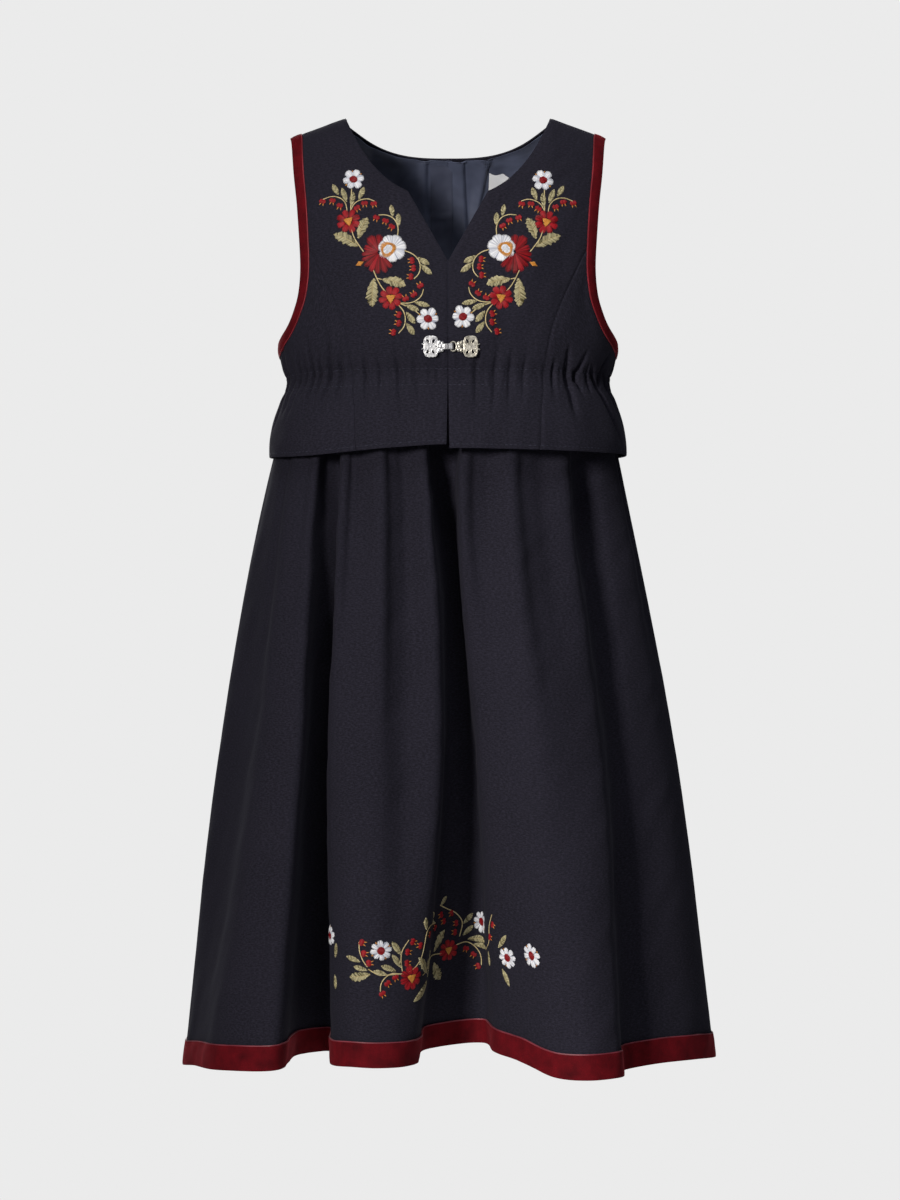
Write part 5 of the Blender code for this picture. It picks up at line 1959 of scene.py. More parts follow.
@dataclass(frozen=True)
class Rose(Element):
    """A large open flower with a scalloped rim, an uneven gold ring and a core of white knots."""

    middle: Spot
    radius: float
    lobes: int
    heart: Spot
    ring_stitches: int = 54
    knots: int = 26

    def stitch(self, stitches: Stitches, dice: np.random.Generator) -> None:
        """Adds the rim's petals, the ring and the knots."""
        step, size = 360 / self.lobes, self.radius
        for i in range(self.lobes):
            turn, lift = 12 + i * step, 0.35 + 0.1 * (i % 2)
            petal = Petal(self.middle, turn, 1.04 * step, 0.2 * size, size, Yarn.WHITE, 0.14, lift)
            petal.stitch(stitches, dice)
        Pad(self.heart, 0.8 * size, 0.8 * size, 60, Yarn.WHITE, False, 0.45, 0.3).stitch(stitches, dice)
        turns = np.linspace(0, 2 * math.pi, self.ring_stitches, endpoint=False)
        outer = size * (0.55 + 0.06 * np.sin(3 * turns + 1))
        inner = size * (0.29 + 0.05 * np.sin(2 * turns))
        starts = np.array(self.heart) + heading(turns) * inner[:, None]
        ends = np.array(self.heart) + heading(turns + 0.08) * outer[:, None]
        shades = np.clip(0.6 + dice.normal(0, 0.2, len(turns)), 0, 1)
        stitches.add(Yarn.GOLD, starts, ends, 0.5, 0.3, 0.75, shades)
        for _ in range(self.knots):
            turn, reach = dice.uniform(0, 360), dice.uniform(0, 0.27) * size
            spot = beyond(self.heart, turn, reach)
            Pad(spot, 1.3, 0.8, dice.uniform(0, 180), Yarn.WHITE, False, 0.85, 0.35).stitch(stitches, dice)


@dataclass(frozen=True)
class Leaf(Element):
    """A leaf of slanted satin stitches on both sides of its rib, plain or with a toothed edge."""

    base: Spot
    tip: Spot
    width: float
    teeth: int = 0
    bend: float = 0.0
    pitch: float = 0.72

    def stitch(self, stitches: Stitches, dice: np.random.Generator) -> None:
        """Adds both sides, then the rib."""
        base, tip = np.array(self.base), np.array(self.tip)
        way = tip - base
        length = float(np.linalg.norm(way))
        along = way / length
        across = np.array([-along[1], along[0]])
        count = max(6, round(length / self.pitch))
        share = np.linspace(0.03, 0.97, count)
        rib = base + way * share[:, None] + across * (self.bend * np.sin(math.pi * share))[:, None]
        outline = np.sin(math.pi * share**0.85) ** 0.8
        for side in (-1, 1):
            notch = 1 - 0.3 * ((share * self.teeth + 0.25 * side) % 1.0) if self.teeth else 1.0
            reach = self.width / 2 * outline * notch * (1 + dice.normal(0, 0.04, count))
            ends = rib + (across * side + along * 0.75) * reach[:, None]
            roots = rib - across * (0.12 * side)
            shades = 0.6 + 0.1 * side + dice.normal(0, 0.3, count)
            stitches.add(Yarn.OLIVE, roots, ends, self.pitch * 1.15, 0.3, 0.12, np.clip(shades, 0, 1))
        if self.width > 5:
            stitches.add(Yarn.STRAW, rib[:-3:3], rib[3::3][: len(rib[:-3:3])], 0.45, 0.12, 0.42, 0.45)


@dataclass(frozen=True)
class Stem(Element):
    """A stem of short overlapping stitches along a smooth curve through a few places."""

    places: tuple[Spot, ...]
    width: float = 0.8
    stitch_length: float = 2.3

    def stitch(self, stitches: Stitches, dice: np.random.Generator) -> None:
        """Adds the stem."""
        places = np.array(self.places)
        knots = np.concatenate(([0], np.cumsum(np.linalg.norm(np.diff(places, axis=0), axis=1))))
        count = max(3, round(knots[-1] / (self.stitch_length * 0.55)))
        stops = np.linspace(0, knots[-1], count + 2)
        route = np.stack([through(knots, places[:, i], stops) for i in (0, 1)], axis=-1)
        shades = np.clip(0.6 + dice.normal(0, 0.15, count), 0, 1)
        stitches.add(Yarn.STRAW, route[:-2], route[2:], self.width, 0.15, 0.12, shades)


@dataclass(frozen=True)
class Bell(Element):
    """A small red bell that hangs from a stem, with gold teeth at its mouth. Its turn is in degrees."""

    middle: Spot
    turn: float
    size: float = 4.9

    def stitch(self, stitches: Stitches, dice: np.random.Generator) -> None:
        """Adds the teeth, then the two cheeks of the bell."""
        way, side = heading(math.radians(self.turn)), heading(math.radians(self.turn + 90))
        middle = np.array(self.middle)
        for shift in (-0.34, 0.34):
            root = middle + way * self.size * 0.3 + side * shift * self.size * 0.55
            tip = middle + way * self.size * 0.74 + side * shift * self.size
            starts = root + side * np.array([[-0.35], [0.0], [0.35]])
            stitches.add(Yarn.GOLD, starts, np.repeat(tip[None], 3, axis=0), (0.5, 0.25), 0.12, 0.1, 0.6)
        for shift in (-0.23, 0.23):
            spot = middle + side * shift * self.size
            length, width = self.size * 0.86, self.size * 0.58
            Pad(tuple(spot), length, width, self.turn, Yarn.RED, False, 0.2, 0.42).stitch(stitches, dice)


def moved(element: Element, place: Callable[[Spot], Spot]) -> Element:
    """The same blossom, leaf, bell or stem with its places put elsewhere."""
    if isinstance(element, Stem):
        return replace(element, places=tuple(place(spot) for spot in element.places))
    names = [name for name in ("middle", "base", "tip") if hasattr(element, name)]
    return replace(element, **{name: place(getattr(element, name)) for name in names})


def bells(*rows: Place) -> tuple[Bell, ...]:
    """Bells from rows of a place across, a place up and a turn."""
    return tuple(Bell((x, y), turn) for x, y, turn in rows)


def white(middle: Spot, radius: float, petals: int, turn: float, *points: int) -> Blossom:
    """A white flower with a crimson middle, and gold points beside some of its petals."""
    return Blossom(middle, radius, petals, turn, Yarn.WHITE, Yarn.CRIMSON, 0.3, points)


def red(middle: Spot, radius: float, turn: float) -> Blossom:
    """A red flower with eight petals and a gold middle."""
    return Blossom(middle, radius, 8, turn, Yarn.RED, Yarn.GOLD, 0.26)


BODICE_MOTIF: tuple[Element, ...] = (
    Stem(((36.2, -29), (35.8, -38), (35.5, -47))),
    Stem(((32.7, -47), (31.5, -41), (27.5, -36.5), (20.5, -34.5), (13, -36.5))),
    Stem(((35.5, -47), (38.5, -41.5), (44, -38.5), (49.5, -38), (54.5, -40))),
    Leaf((26, -34), (20.8, -24.5), 4.2),
    Leaf((32.5, -40), (28.3, -28), 4.4),
    Leaf((36, -43.5), (37.6, -32), 4.4),
    Leaf((42, -38.5), (46, -28), 4.4),
    *bells((13, -38, -110), (21, -38, -105), (27, -42.5, -105)),
    *bells((40.5, -45, -60), (46.5, -41.5, -85), (53.7, -42, -75)),
    white((37.5, -21.2), 8.6, 6, 68, 0, 2, 5),
    Stem(((36.2, -62), (38.5, -69), (42.5, -75.5), (46, -80.5))),
    Leaf((41.5, -70), (49, -53.5), 9.0, 5, 0.8),
    Leaf((42, -76.5), (22.3, -65.5), 10.0, 5, -1.2),
    red((34, -55.5), 9.6, 22),
    Stem(((72.5, -69.5), (73, -62), (69, -54), (63.5, -51.5), (57.5, -51.5))),
    Leaf((69, -53), (67.3, -43.3), 4.0),
    Leaf((73.5, -61), (73, -50.3), 4.2),
    *bells((56, -53.5, -110), (63.2, -56.2, -110), (68.2, -61, -125)),
    Pad((43, -90), 8.4, 3.4, 205, Yarn.GOLD, True, 0.1, 0.4),
    Fan(
        (58.5, -81.5),
        (
            (92, 34, 14.2), (122, 40, 15.4), (158, 32, 13.0), (184, 22, 14.0), (204, 20, 15.0),
            (224, 21, 15.8), (245, 22, 16.6), (266, 22, 17.2), (287, 22, 17.0), (307, 20, 15.6),
        ),
    ),
    Rose((68.5, -78.5), 11.2, 7, (65.2, -79.3)),
    Stem(((78, -80.5), (84, -83), (89, -88), (90.5, -94), (89, -99.5), (85.5, -103))),
    Leaf((88, -86), (97.5, -91.8), 4.4),
    Leaf((90, -91.5), (99.5, -99.5), 4.6),
    *bells((84, -88.5, 185), (85.2, -94.5, 180), (83.2, -101.2, 175)),
    Stem(((53.8, -95.5), (57, -103), (60, -108.5), (64, -113.5))),
    Stem(((56.5, -102), (60.5, -103))),
    Leaf((54.5, -101.5), (53, -124.3), 10.4, 6, -0.8),
    Leaf((60.5, -103), (79, -108.3), 9.0, 5, 1.0),
    red((67.5, -118), 9.5, 10),
    Stem(((75, -122), (82, -122), (87.5, -120), (91.5, -116), (93, -111))),
    *bells((90.5, -108.5, 120), (85.5, -115.5, 125), (79, -118.7, 110)),
    Leaf((86, -121.5), (97.7, -124.3), 4.2),
    Leaf((79, -123.5), (89.5, -128), 4.4),
    Stem(((75, -122.5), (82.5, -125.5), (87, -128.5), (90, -131))),
    Stem(((73.5, -123.5), (77, -127.5), (78.8, -133), (78, -140), (73.5, -145.5))),
    *bells((73.8, -131, 155), (73.7, -137.7, 165), (69.6, -144.6, 170)),
    Leaf((79.5, -129), (86.3, -138), 4.6),
    Leaf((79.5, -137.5), (85.8, -146.5), 4.6),
    white((96.5, -134.5), 8.8, 6, 62, 1, 3, 5),
)


# The skirt's motif: millimetres across and up from its corner, on an upright plane before the skirt
SKIRT_MOTIF: tuple[Element, ...] = (
    white((12, -35), 8.5, 8, 10, 1, 4),
    Leaf((16, -52), (16.5, -41), 4.2),
    Leaf((15.5, -65), (16, -76), 4.2),
    Stem(((40.5, -59.5), (36.5, -53.5), (34.5, -47.5), (34, -40))),
    *bells((36, -40.5, -20), (37.5, -49, -10), (41.5, -56.5, 5)),
    Leaf((35, -55.5), (24.5, -51), 4.4),
    Leaf((40.5, -62), (30, -59), 4.2),
    Leaf((43, -65), (27, -67), 8.4, 5, 0.8),
    Leaf((66.5, -50), (59.5, -40), 4.4),
    Leaf((67.5, -60.5), (59.5, -50), 4.2),
    Leaf((62.5, -62.5), (51, -58.5), 4.4),
    Leaf((55.5, -65.5), (45, -62.5), 4.2),
    Stem(((41, -61), (49, -65.5), (58, -65.5), (69, -64.5))),
    white((51, -47), 8.3, 8, 8, 0, 2, 4, 6),
    Stem(((67.5, -63), (66.5, -57), (67, -48), (72.5, -38.5))),
    *bells((75.5, -40, -15), (71.5, -48, -5), (71, -56.5, 0)),
    Stem(((69.5, -65.5), (58, -65), (51, -72.5), (50.5, -78.5))),
    *bells((62, -67.5, -65), (56, -72, -45), (52, -80, -60)),
    Stem(((69.5, -64.5), (77, -60), (82.5, -51), (84.5, -42), (86, -34), (93, -25.5))),
    *bells((81.5, -43, 175), (88.5, -34.5, 165), (92.5, -29.5, 150)),
    Leaf((86, -31), (85.5, -21.5), 4.6),
    Leaf((92.5, -25.5), (91, -17), 4.2),
    Leaf((86, -64), (80, -52), 8.0, 4, 0.6),
    Leaf((86, -69.5), (76, -86.5), 6.4),
    red((74.5, -68), 9.6, 20),
    Leaf((91.5, -48), (100, -31), 7.6, 4, 0.6),
    Leaf((91.5, -56), (96.5, -69), 9.4, 5, -0.8),
    Leaf((97, -12), (101.5, -5), 4.2),
    *bells((97.5, -19, 200), (99.5, -24, 195)),
    Stem(((96.5, -12), (102, -14.5), (108.5, -17.5), (113.5, -24), (111.5, -36))),
    *bells((105.5, -18, 200), (109, -25.5, 185), (108, -32.5, 180)),
    red((103, -46.5), 9.0, 14),
    Leaf((114.5, -26), (122, -18), 4.4),
    Leaf((114, -35), (122, -27.5), 4.4),
    white((129, -24.5), 9.4, 8, 30, 3, 6),
    Leaf((117.5, -38), (131, -40.5), 5.6, 0, 1.0),
    Leaf((122, -42), (132, -45), 4.6),
    Stem(((109, -42.5), (117, -40), (123.5, -43.5), (128, -50.5), (128.5, -58))),
    *bells((116.5, -45, -110), (122.5, -49.5, -125), (126, -58.5, -160)),
    Stem(((132, -46), (134.5, -39), (134.5, -28), (136.5, -19))),
    *bells((137, -26.5, -30), (135, -36, -15)),
    Leaf((134, -47), (135, -58), 4.6),
    Leaf((141.5, -44.5), (147.5, -35), 4.4),
    Leaf((144.5, -60.5), (150, -74), 4.6),
    white((148.5, -52), 8.6, 8, 5, 2, 5),
    white((167, -50.5), 9.2, 8, 15, 0, 2, 4, 6),
)


@dataclass
class Embroidery:
    """The flower sprays on both fronts and round the skirt."""

    flosses: list[Material]
    corner: Spot = (-112 * MM, -37 * MM)
    mirror_axis: float = -0.9 * MM
    right_turn: float = 2.2
    right_middle: Spot = (54, -80)
    hem_top: float = 0.7
    hem_rows: int = 200
    measured_row: int = 133
    skirt_corner: Place = (-102.6 * MM, -100 * MM, -613.7 * MM)
    fold_start: Spot = (83, -66)
    fold_end: Spot = (98, -49)
    hidden_stem: tuple[Spot, ...] = ((0, 0), (0.25, 3), (0.5, -1), (0.75, 2), (1, 0))
    hidden_leaves: tuple[Place, ...] = ((0.3, -7, 9), (0.5, 8, 10), (0.62, -6, -11))

    def on_bodice(self, side: Side) -> Callable[[Array], Array]:
        """Places a bodice motif's millimetres on one half of the front."""
        corner = np.array(self.corner)
        if side is Side.LEFT:
            return lambda places: corner + places * MM
        turn = math.radians(self.right_turn)
        middle = np.array(self.right_middle)
        rotate = np.array([[math.cos(turn), -math.sin(turn)], [math.sin(turn), math.cos(turn)]])

        def place(places: Array) -> Array:
            turned = (places - middle) @ rotate.T + middle
            spots = corner + turned * MM
            return np.stack((2 * self.mirror_axis - spots[:, 0], spots[:, 1]), axis=-1)

        return place

    def on_skirt(self, hem: SheetGround) -> list[Element]:
        """The skirt's motif in the cloth's own millimetres, with the guessed stretch that a fold hides."""
        eye, corner = np.array(CAMERA_PLACE), np.array(self.skirt_corner)

        def sewn(spot: Spot) -> Spot:
            return hem.behind(eye, corner + np.array([spot[0], 0, spot[1]]) * MM)

        start, end = np.array(sewn(self.fold_start)), np.array(sewn(self.fold_end))
        way = end - start
        hidden = [Stem(tuple(tuple(start + way * share + (0, rise)) for share, rise in self.hidden_stem))]
        for share, lean, rise in self.hidden_leaves:
            root = start + way * share
            hidden.append(Leaf(tuple(root), tuple(root + (lean, rise)), 5.0))
        return [*hidden, *(moved(element, sewn) for element in SKIRT_MOTIF)]

    def sew(
        self, name: str, seed: int, motif: Sequence[Element], ground: Ground, place: Callable[[Array], Array]
    ) -> Piece:
        """Sews one motif.

        Args:
            name: the piece's name.
            seed: which of many small unevennesses its stitches have.
            motif: its parts, in millimetres.
            ground: the cloth that it is sewn on.
            place: turns its millimetres into the cloth's metres.

        Returns:
            The motif, with its flosses and its body.
        """
        stitches, dice = Stitches(), np.random.default_rng(seed)
        for element in motif:
            element.stitch(stitches, dice)
        piece = stitches.sew(name, ground, place)
        for floss in self.flosses:
            piece.data.materials.append(floss)
        return belong(piece, "wool")

    def build(self, fronts: dict[Side, Piece], skirt: Skirt) -> list[Piece]:
        """Sews every motif.

        Args:
            fronts: the front panels of the bodice.
            skirt: the skirt, whose front is sewn on near its hem.

        Returns:
            The motifs.
        """
        pieces = []
        for side in Side:
            name, ground = f"embroidery_front_{side.value}", FrontGround(fronts[side])
            pieces.append(self.sew(name, 7, BODICE_MOTIF, ground, self.on_bodice(side)))
        down = np.linspace(self.hem_top, 1, self.hem_rows)
        hem = SheetGround(*skirt.surface(skirt.stops(Run.FRONT), down), self.measured_row)
        pieces.append(self.sew("embroidery_skirt", 8, self.on_skirt(hem), hem, lambda places: places * MM))
        return pieces


# Buttons, clasp and studio


@dataclass
class BackButtons:
    """Four horn buttons with a rolled rim, a dish and four holes, down the middle of the back."""

    finishes: Finishes
    pattern: Pattern = Pattern()
    radius: float = 5.5 * MM
    thickness: float = 2.2 * MM
    rim: float = 1.21 * MM
    dish_edge: float = 0.66 * MM
    dish: float = 0.55 * MM
    bevel: float = 0.5 * MM
    seat: float = 0.35 * MM
    side: float = 8 * MM
    heights: tuple[float, ...] = (-0.048, -0.087, -0.126, -0.165)
    holes: int = 4
    hole_radius: float = 0.75 * MM
    hole_offset: float = 1.3 * MM
    drill_length: float = 20 * MM
    smooth_edge: float = 40

    def model(self) -> Piece:
        """Models one button about its own middle, with its face along +Z."""
        bpy.ops.object.select_all(action="DESELECT")
        size = {"radius": self.radius, "depth": self.thickness}
        bpy.ops.mesh.primitive_cylinder_add(vertices=48, location=(0, 0, self.thickness / 2), **size)
        button = bpy.context.object
        bpy.ops.object.transform_apply(location=True, rotation=False, scale=False)
        bpy.ops.object.mode_set(mode="EDIT")
        bpy.ops.mesh.select_all(action="DESELECT")
        bpy.ops.object.mode_set(mode="OBJECT")
        for face in button.data.polygons:
            face.select = face.normal.z > 0.9
        bpy.ops.object.mode_set(mode="EDIT")
        bpy.ops.mesh.select_mode(type="FACE")
        bpy.ops.mesh.inset(thickness=self.rim, depth=0)
        bpy.ops.mesh.inset(thickness=self.dish_edge, depth=-self.dish)
        bpy.ops.object.mode_set(mode="OBJECT")
        bpy.ops.object.modifier_add(type="BEVEL")
        bevel = button.modifiers[-1]
        bevel.width, bevel.segments, bevel.limit_method = self.bevel, 3, "ANGLE"
        bpy.ops.object.modifier_apply(modifier=bevel.name)
        for i in range(self.holes):
            self.drill(button, math.pi / 4 + i * 2 * math.pi / self.holes)
        bpy.ops.object.shade_smooth_by_angle(angle=math.radians(self.smooth_edge))
        return button

    def drill(self, button: Piece, turn: float) -> None:
        """Cuts one of the sewing holes."""
        bpy.ops.object.select_all(action="DESELECT")
        spot = (self.hole_offset * math.cos(turn), self.hole_offset * math.sin(turn), self.thickness / 2)
        size = {"radius": self.hole_radius, "depth": self.drill_length}
        bpy.ops.mesh.primitive_cylinder_add(vertices=14, location=spot, **size)
        drill = bpy.context.object
        select_only(button)
        bpy.ops.object.modifier_add(type="BOOLEAN")
        cut = button.modifiers[-1]
        cut.operation, cut.solver, cut.object = "DIFFERENCE", "EXACT", drill
        bpy.ops.object.modifier_apply(modifier=cut.name)
        bpy.data.objects.remove(drill)

    def build(self) -> list[Piece]:
        """Models a button once and sews a copy on at each height.

        Returns:
            The buttons.
        """
        body, mirror = self.pattern.body, np.array([-1, 1, 1])
        master = self.model()
        master.data.materials.clear()
        master.data.materials.append(self.finishes.horn)
        buttons = []
        for number, height in enumerate(self.heights, 1):
            place = body.point(math.pi - float(body.angle_at(self.side, height)), height)
            out = body.normal(place[None])[0] * mirror
            place = place * mirror + np.array([0, self.pattern.seam / 2, 0]) + out * self.seat
            button = master.copy()
            button.data = master.data.copy()
            bpy.context.scene.collection.objects.link(button)
            button.name = button.data.name = f"horn_button_{number}"
            side = unit(np.cross([0, 0, 1], out))
            turned = np.stack((side, np.cross(out, side), out), axis=-1)
            put_points(button.data, read_points(button.data) @ turned.T + place)
            buttons.append(belong(button, "button", f"button_{number}"))
        bpy.data.objects.remove(master)
        return buttons


@dataclass(frozen=True)
class Slot:
    """A teardrop hole in a plate: its place across and up, its length, width and turn."""

    across: float
    up: float
    length: float
    width: float
    turn: float
    curl: float = 0.0

    def loop(self, grow: float = 0.0, count: int = 22) -> Array:
        """The hole's edge, grown by a margin, in millimetres."""
        turns = np.linspace(0, 2 * math.pi, count, endpoint=False)
        along = (self.length / 2 + grow) * np.cos(turns)
        share = along / (self.length + 2 * grow) + 0.5
        beside = (self.width / 2 + grow) * np.sin(turns) * (0.45 + 0.75 * share)
        beside = beside + self.curl * (share - 0.5) ** 2 * 2
        turn = math.radians(self.turn)
        x = along * math.cos(turn) - beside * math.sin(turn) + self.across
        return np.stack((x, along * math.sin(turn) + beside * math.cos(turn) + self.up), axis=-1)


@dataclass(frozen=True)
class Rosette:
    """One pierced half of the clasp, with its holes, prongs and beads in millimetres from its middle."""

    side: Side
    across: float
    slots: tuple[Slot, ...]
    prongs: tuple[Spot, ...]
    beads: tuple[Place, ...]


ROSETTES = (
    Rosette(
        Side.LEFT,
        -13.2,
        (
            Slot(-2.2, 3.9, 4.2, 2.3, 112, 1.0),
            Slot(1.8, 3.9, 4.2, 2.3, 68, -1.0),
            Slot(-2.4, -3.9, 4.0, 2.3, 248, -1.0),
            Slot(1.6, -4.0, 4.0, 2.2, 292, 1.0),
            Slot(3.9, 0.0, 1.8, 1.2, 0),
        ),
        ((-7.2, 1.7), (-7.2, -1.5)),
        ((6.4, 2.9, 1.8), (6.4, -2.9, 1.8), (7.6, 0, 2.0), (8.6, 2.5, 1.5), (8.6, -2.6, 1.5), (0, 0, 1.2)),
    ),
    Rosette(
        Side.RIGHT,
        17.6,
        (
            Slot(-2.0, 3.9, 4.2, 2.3, 112, 1.0),
            Slot(1.9, 3.8, 4.0, 2.2, 66, -1.0),
            Slot(-2.2, -4.0, 4.2, 2.3, 250, -1.0),
            Slot(1.7, -3.9, 4.0, 2.2, 290, 1.0),
            Slot(-4.2, 0.4, 1.4, 1.2, 0),
        ),
        ((7.2, 1.5), (7.2, -1.8)),
        ((-7, 2.9, 1.8), (-7, -2.9, 1.8), (-8.4, 0, 2.0), (-9.3, 2.3, 1.6), (-9.3, -2.4, 1.6), (0, 0, 1.2)),
    ),
)


@dataclass
class Clasp:
    """The cast silver hook and eye: two pierced rosettes with scrolls, held by a hook through a ring.

    Sizes without MM are in millimetres, and places are counted from the clasp's middle.
    """

    finishes: Finishes
    pattern: Pattern = Pattern()
    height: float = -193 * MM
    lift: float = 0.9 * MM
    plate: float = 1.2
    bevel: float = 0.28
    half: Spot = (6.0, 8.7)
    lobes: int = 14
    lobe_depth: float = 0.075
    lobe_ripple: float = 0.015
    rim_inset: float = 0.4
    second_rim_inset: float = 1.15
    edge_wire: float = 0.24
    scroll_wire: float = 0.26
    prong_wire: float = 0.45
    ring: Place = (4.2, 2.6, 3.6)
    wire: float = 0.7
    seam: float = 0.15
    hook_ridges: tuple[float, ...] = (-1.7, -0.6, 0.6, 1.7)
    hook_wire: float = 0.6
    collars: Spot = (-3.6, -2.6)
    bead_depth: float = 0.62
    metal_edge: float = 35

    def rim(self, shrink: float = 0.0) -> Array:
        """A rosette's lobed edge, in millimetres."""
        turns = np.linspace(0, 2 * math.pi, 120, endpoint=False)
        lobe = 1 - self.lobe_depth * np.cos(4 * turns) + self.lobe_ripple * np.cos(self.lobes * turns)
        x, y = (self.half[0] - shrink) * np.cos(turns), (self.half[1] - shrink) * np.sin(turns)
        return np.stack((lobe * x, lobe * y), axis=-1)

    def front(self, across: float) -> float:
        """How far forward the wool lies behind the clasp."""
        return float(self.pattern.body.front_at(np.array(across * MM), np.array(self.height))[1])

    def cast(
        self, name: str, loops: list[Array], depth: float, place: Place,
        flat: bool = False, closed: bool = False,
    ) -> Piece:
        """Makes metal from lines: a pierced plate, or wires.

        Args:
            name: what it is.
            loops: lines across, up and out, in millimetres.
            depth: half the plate's thickness, or the wire's radius, in millimetres.
            place: where the lines' zero lies, in metres.
            flat: whether they bound a plate.
            closed: whether each line closes on itself.

        Returns:
            A mesh whose front faces -Y.
        """
        curve = bpy.data.curves.new(name, "CURVE")
        curve.dimensions = "2D" if flat else "3D"
        curve.fill_mode = "BOTH" if flat else "FULL"
        curve.extrude = (depth - self.bevel) * MM if flat else 0
        curve.bevel_depth = (self.bevel if flat else depth) * MM
        curve.bevel_resolution = 2
        for loop in loops:
            line = curve.splines.new("POLY")
            line.points.add(len(loop) - 1)
            spots = np.zeros((len(loop), 4))
            spots[:, : loop.shape[1]] = loop * MM
            spots[:, 3] = 1
            line.points.foreach_set("co", spots.ravel())
            line.use_cyclic_u = closed
        piece = bpy.data.objects.new(name, curve)
        bpy.context.scene.collection.objects.link(piece)
        select_only(piece)
        bpy.ops.object.convert(target="MESH")
        piece = bpy.context.object
        x, y, z = read_points(piece.data).T
        put_points(piece.data, np.stack((x, -z, y), axis=-1) + np.array(place))
        return piece

    def bead(self, across: float, up: float, radius: float, forward: float) -> Piece:
        """Makes a flattened round bead at a place in metres forwards."""
        bpy.ops.mesh.primitive_uv_sphere_add(segments=20, ring_count=12, radius=radius * MM)
        bead = bpy.context.object
        bead.scale = (1, self.bead_depth, 1)
        bpy.ops.object.transform_apply(location=False, rotation=False, scale=True)
        bpy.ops.object.shade_smooth()
        place = np.array((across * MM, forward, self.height + up * MM))
        put_points(bead.data, read_points(bead.data) + place)
        return bead

    def scrolls(self) -> list[Array]:
        """Curled ridges of a rosette, as lines across and up."""
        turns = np.linspace(0.1, 4.4, 30)
        reach = 0.55 + 0.42 * turns
        curl = np.stack((2.9 - reach * np.cos(turns) * 0.62, 1.9 + reach * np.sin(turns) * 0.55), axis=-1)
        return [curl * way for way in ((1, 1), (-1, 1), (1, -1), (-1, -1))]

    def rosette(self, rosette: Rosette) -> list[Piece]:
        """Makes one pierced plate with its raised edges, scrolls, prongs and beads."""
        seat = self.front(rosette.across) - self.lift - self.plate / 2 * MM
        face = seat - self.plate / 2 * MM
        middle, top = (rosette.across * MM, seat, self.height), (rosette.across * MM, face, self.height)
        outlines = [self.rim(), *[slot.loop() for slot in rosette.slots]]
        edges = [self.rim(self.rim_inset), *[slot.loop(self.edge_wire) for slot in rosette.slots]]
        if rosette.side is Side.RIGHT:
            edges.append(self.rim(self.second_rim_inset))
        parts = [
            self.cast("plate", outlines, self.plate / 2, middle, flat=True, closed=True),
            self.cast("edges", edges, self.edge_wire, top, closed=True),
            self.cast("scrolls", self.scrolls(), self.scroll_wire, top),
        ]
        for across, up in rosette.prongs:
            line = np.array([[across * 0.72, up], [across * 0.9, up * 1.1], [across, up * 1.35]])
            parts.append(self.cast("prong", [line], self.prong_wire, middle))
        for across, up, radius in rosette.beads:
            parts.append(self.bead(rosette.across + across, up, radius, seat))
        return parts

    def hook(self) -> list[Piece]:
        """Makes the ridged tongue that passes over the ring's wire and turns down inside it."""
        near = self.ring[0] - self.ring[1]
        place = (0, self.front(0) - self.lift - self.plate / 2 * MM, self.height)
        over = 2 * self.wire - self.plate / 2 + 2 * self.seam + 1.0
        stops = [-6.0, near - 2.4, near - 1.1, near + 0.8, near + 2.0, near + 2.3]
        rises = [0.0, 0.25 * over, over, over, 0.65 * over, 0.2 * over]
        across = np.linspace(stops[0], stops[-1], 34)
        out = through(stops, rises, across)
        parts = []
        for up in self.hook_ridges:
            line = np.stack((across, np.full_like(across, up), out), axis=-1)
            parts.append(self.cast("hook", [line], self.hook_wire, place))
        for spot in self.collars:
            line = np.array([[spot, -1.8, 0.55], [spot, 0, 0.75], [spot, 1.8, 0.55]])
            parts.append(self.cast("collar", [line], self.prong_wire, place))
        return parts

    def eye(self) -> list[Piece]:
        """Makes the ring that the hook goes through, and its neck."""
        turns = np.linspace(0, 2 * math.pi, 48, endpoint=False)
        middle, wide, tall = self.ring
        loop = np.stack((middle + wide * np.cos(turns), tall * np.sin(turns)), axis=-1)
        place = (0, self.front(0) - self.lift - self.wire * MM, self.height)
        parts = [self.cast("ring", [loop], self.wire, place, closed=True)]
        for up in (1.5, 0, -1.5):
            line = np.array([[6.4, up * 0.8], [8.0, up], [10.4, up * 1.4]])
            parts.append(self.cast("neck", [line], self.hook_wire, place))
        return parts

    def build(self) -> list[Piece]:
        """Models both halves and joins each as one piece.

        Returns:
            The halves.
        """
        halves = []
        for rosette in ROSETTES:
            left = rosette.side is Side.LEFT
            parts = [*self.rosette(rosette), *(self.hook() if left else self.eye())]
            bpy.ops.object.select_all(action="DESELECT")
            for part in parts:
                part.select_set(True)
            bpy.context.view_layer.objects.active = parts[0]
            bpy.ops.object.join()
            half = bpy.context.object
            half.name = half.data.name = f"silver_clasp_{rosette.side.value}"
            half.data.materials.clear()
            half.data.materials.append(self.finishes.silver_left if left else self.finishes.silver_right)
            bpy.ops.object.shade_smooth_by_angle(angle=math.radians(self.metal_edge))
            halves.append(belong(half, "silver", f"clasp_{rosette.side.value}"))
        return halves


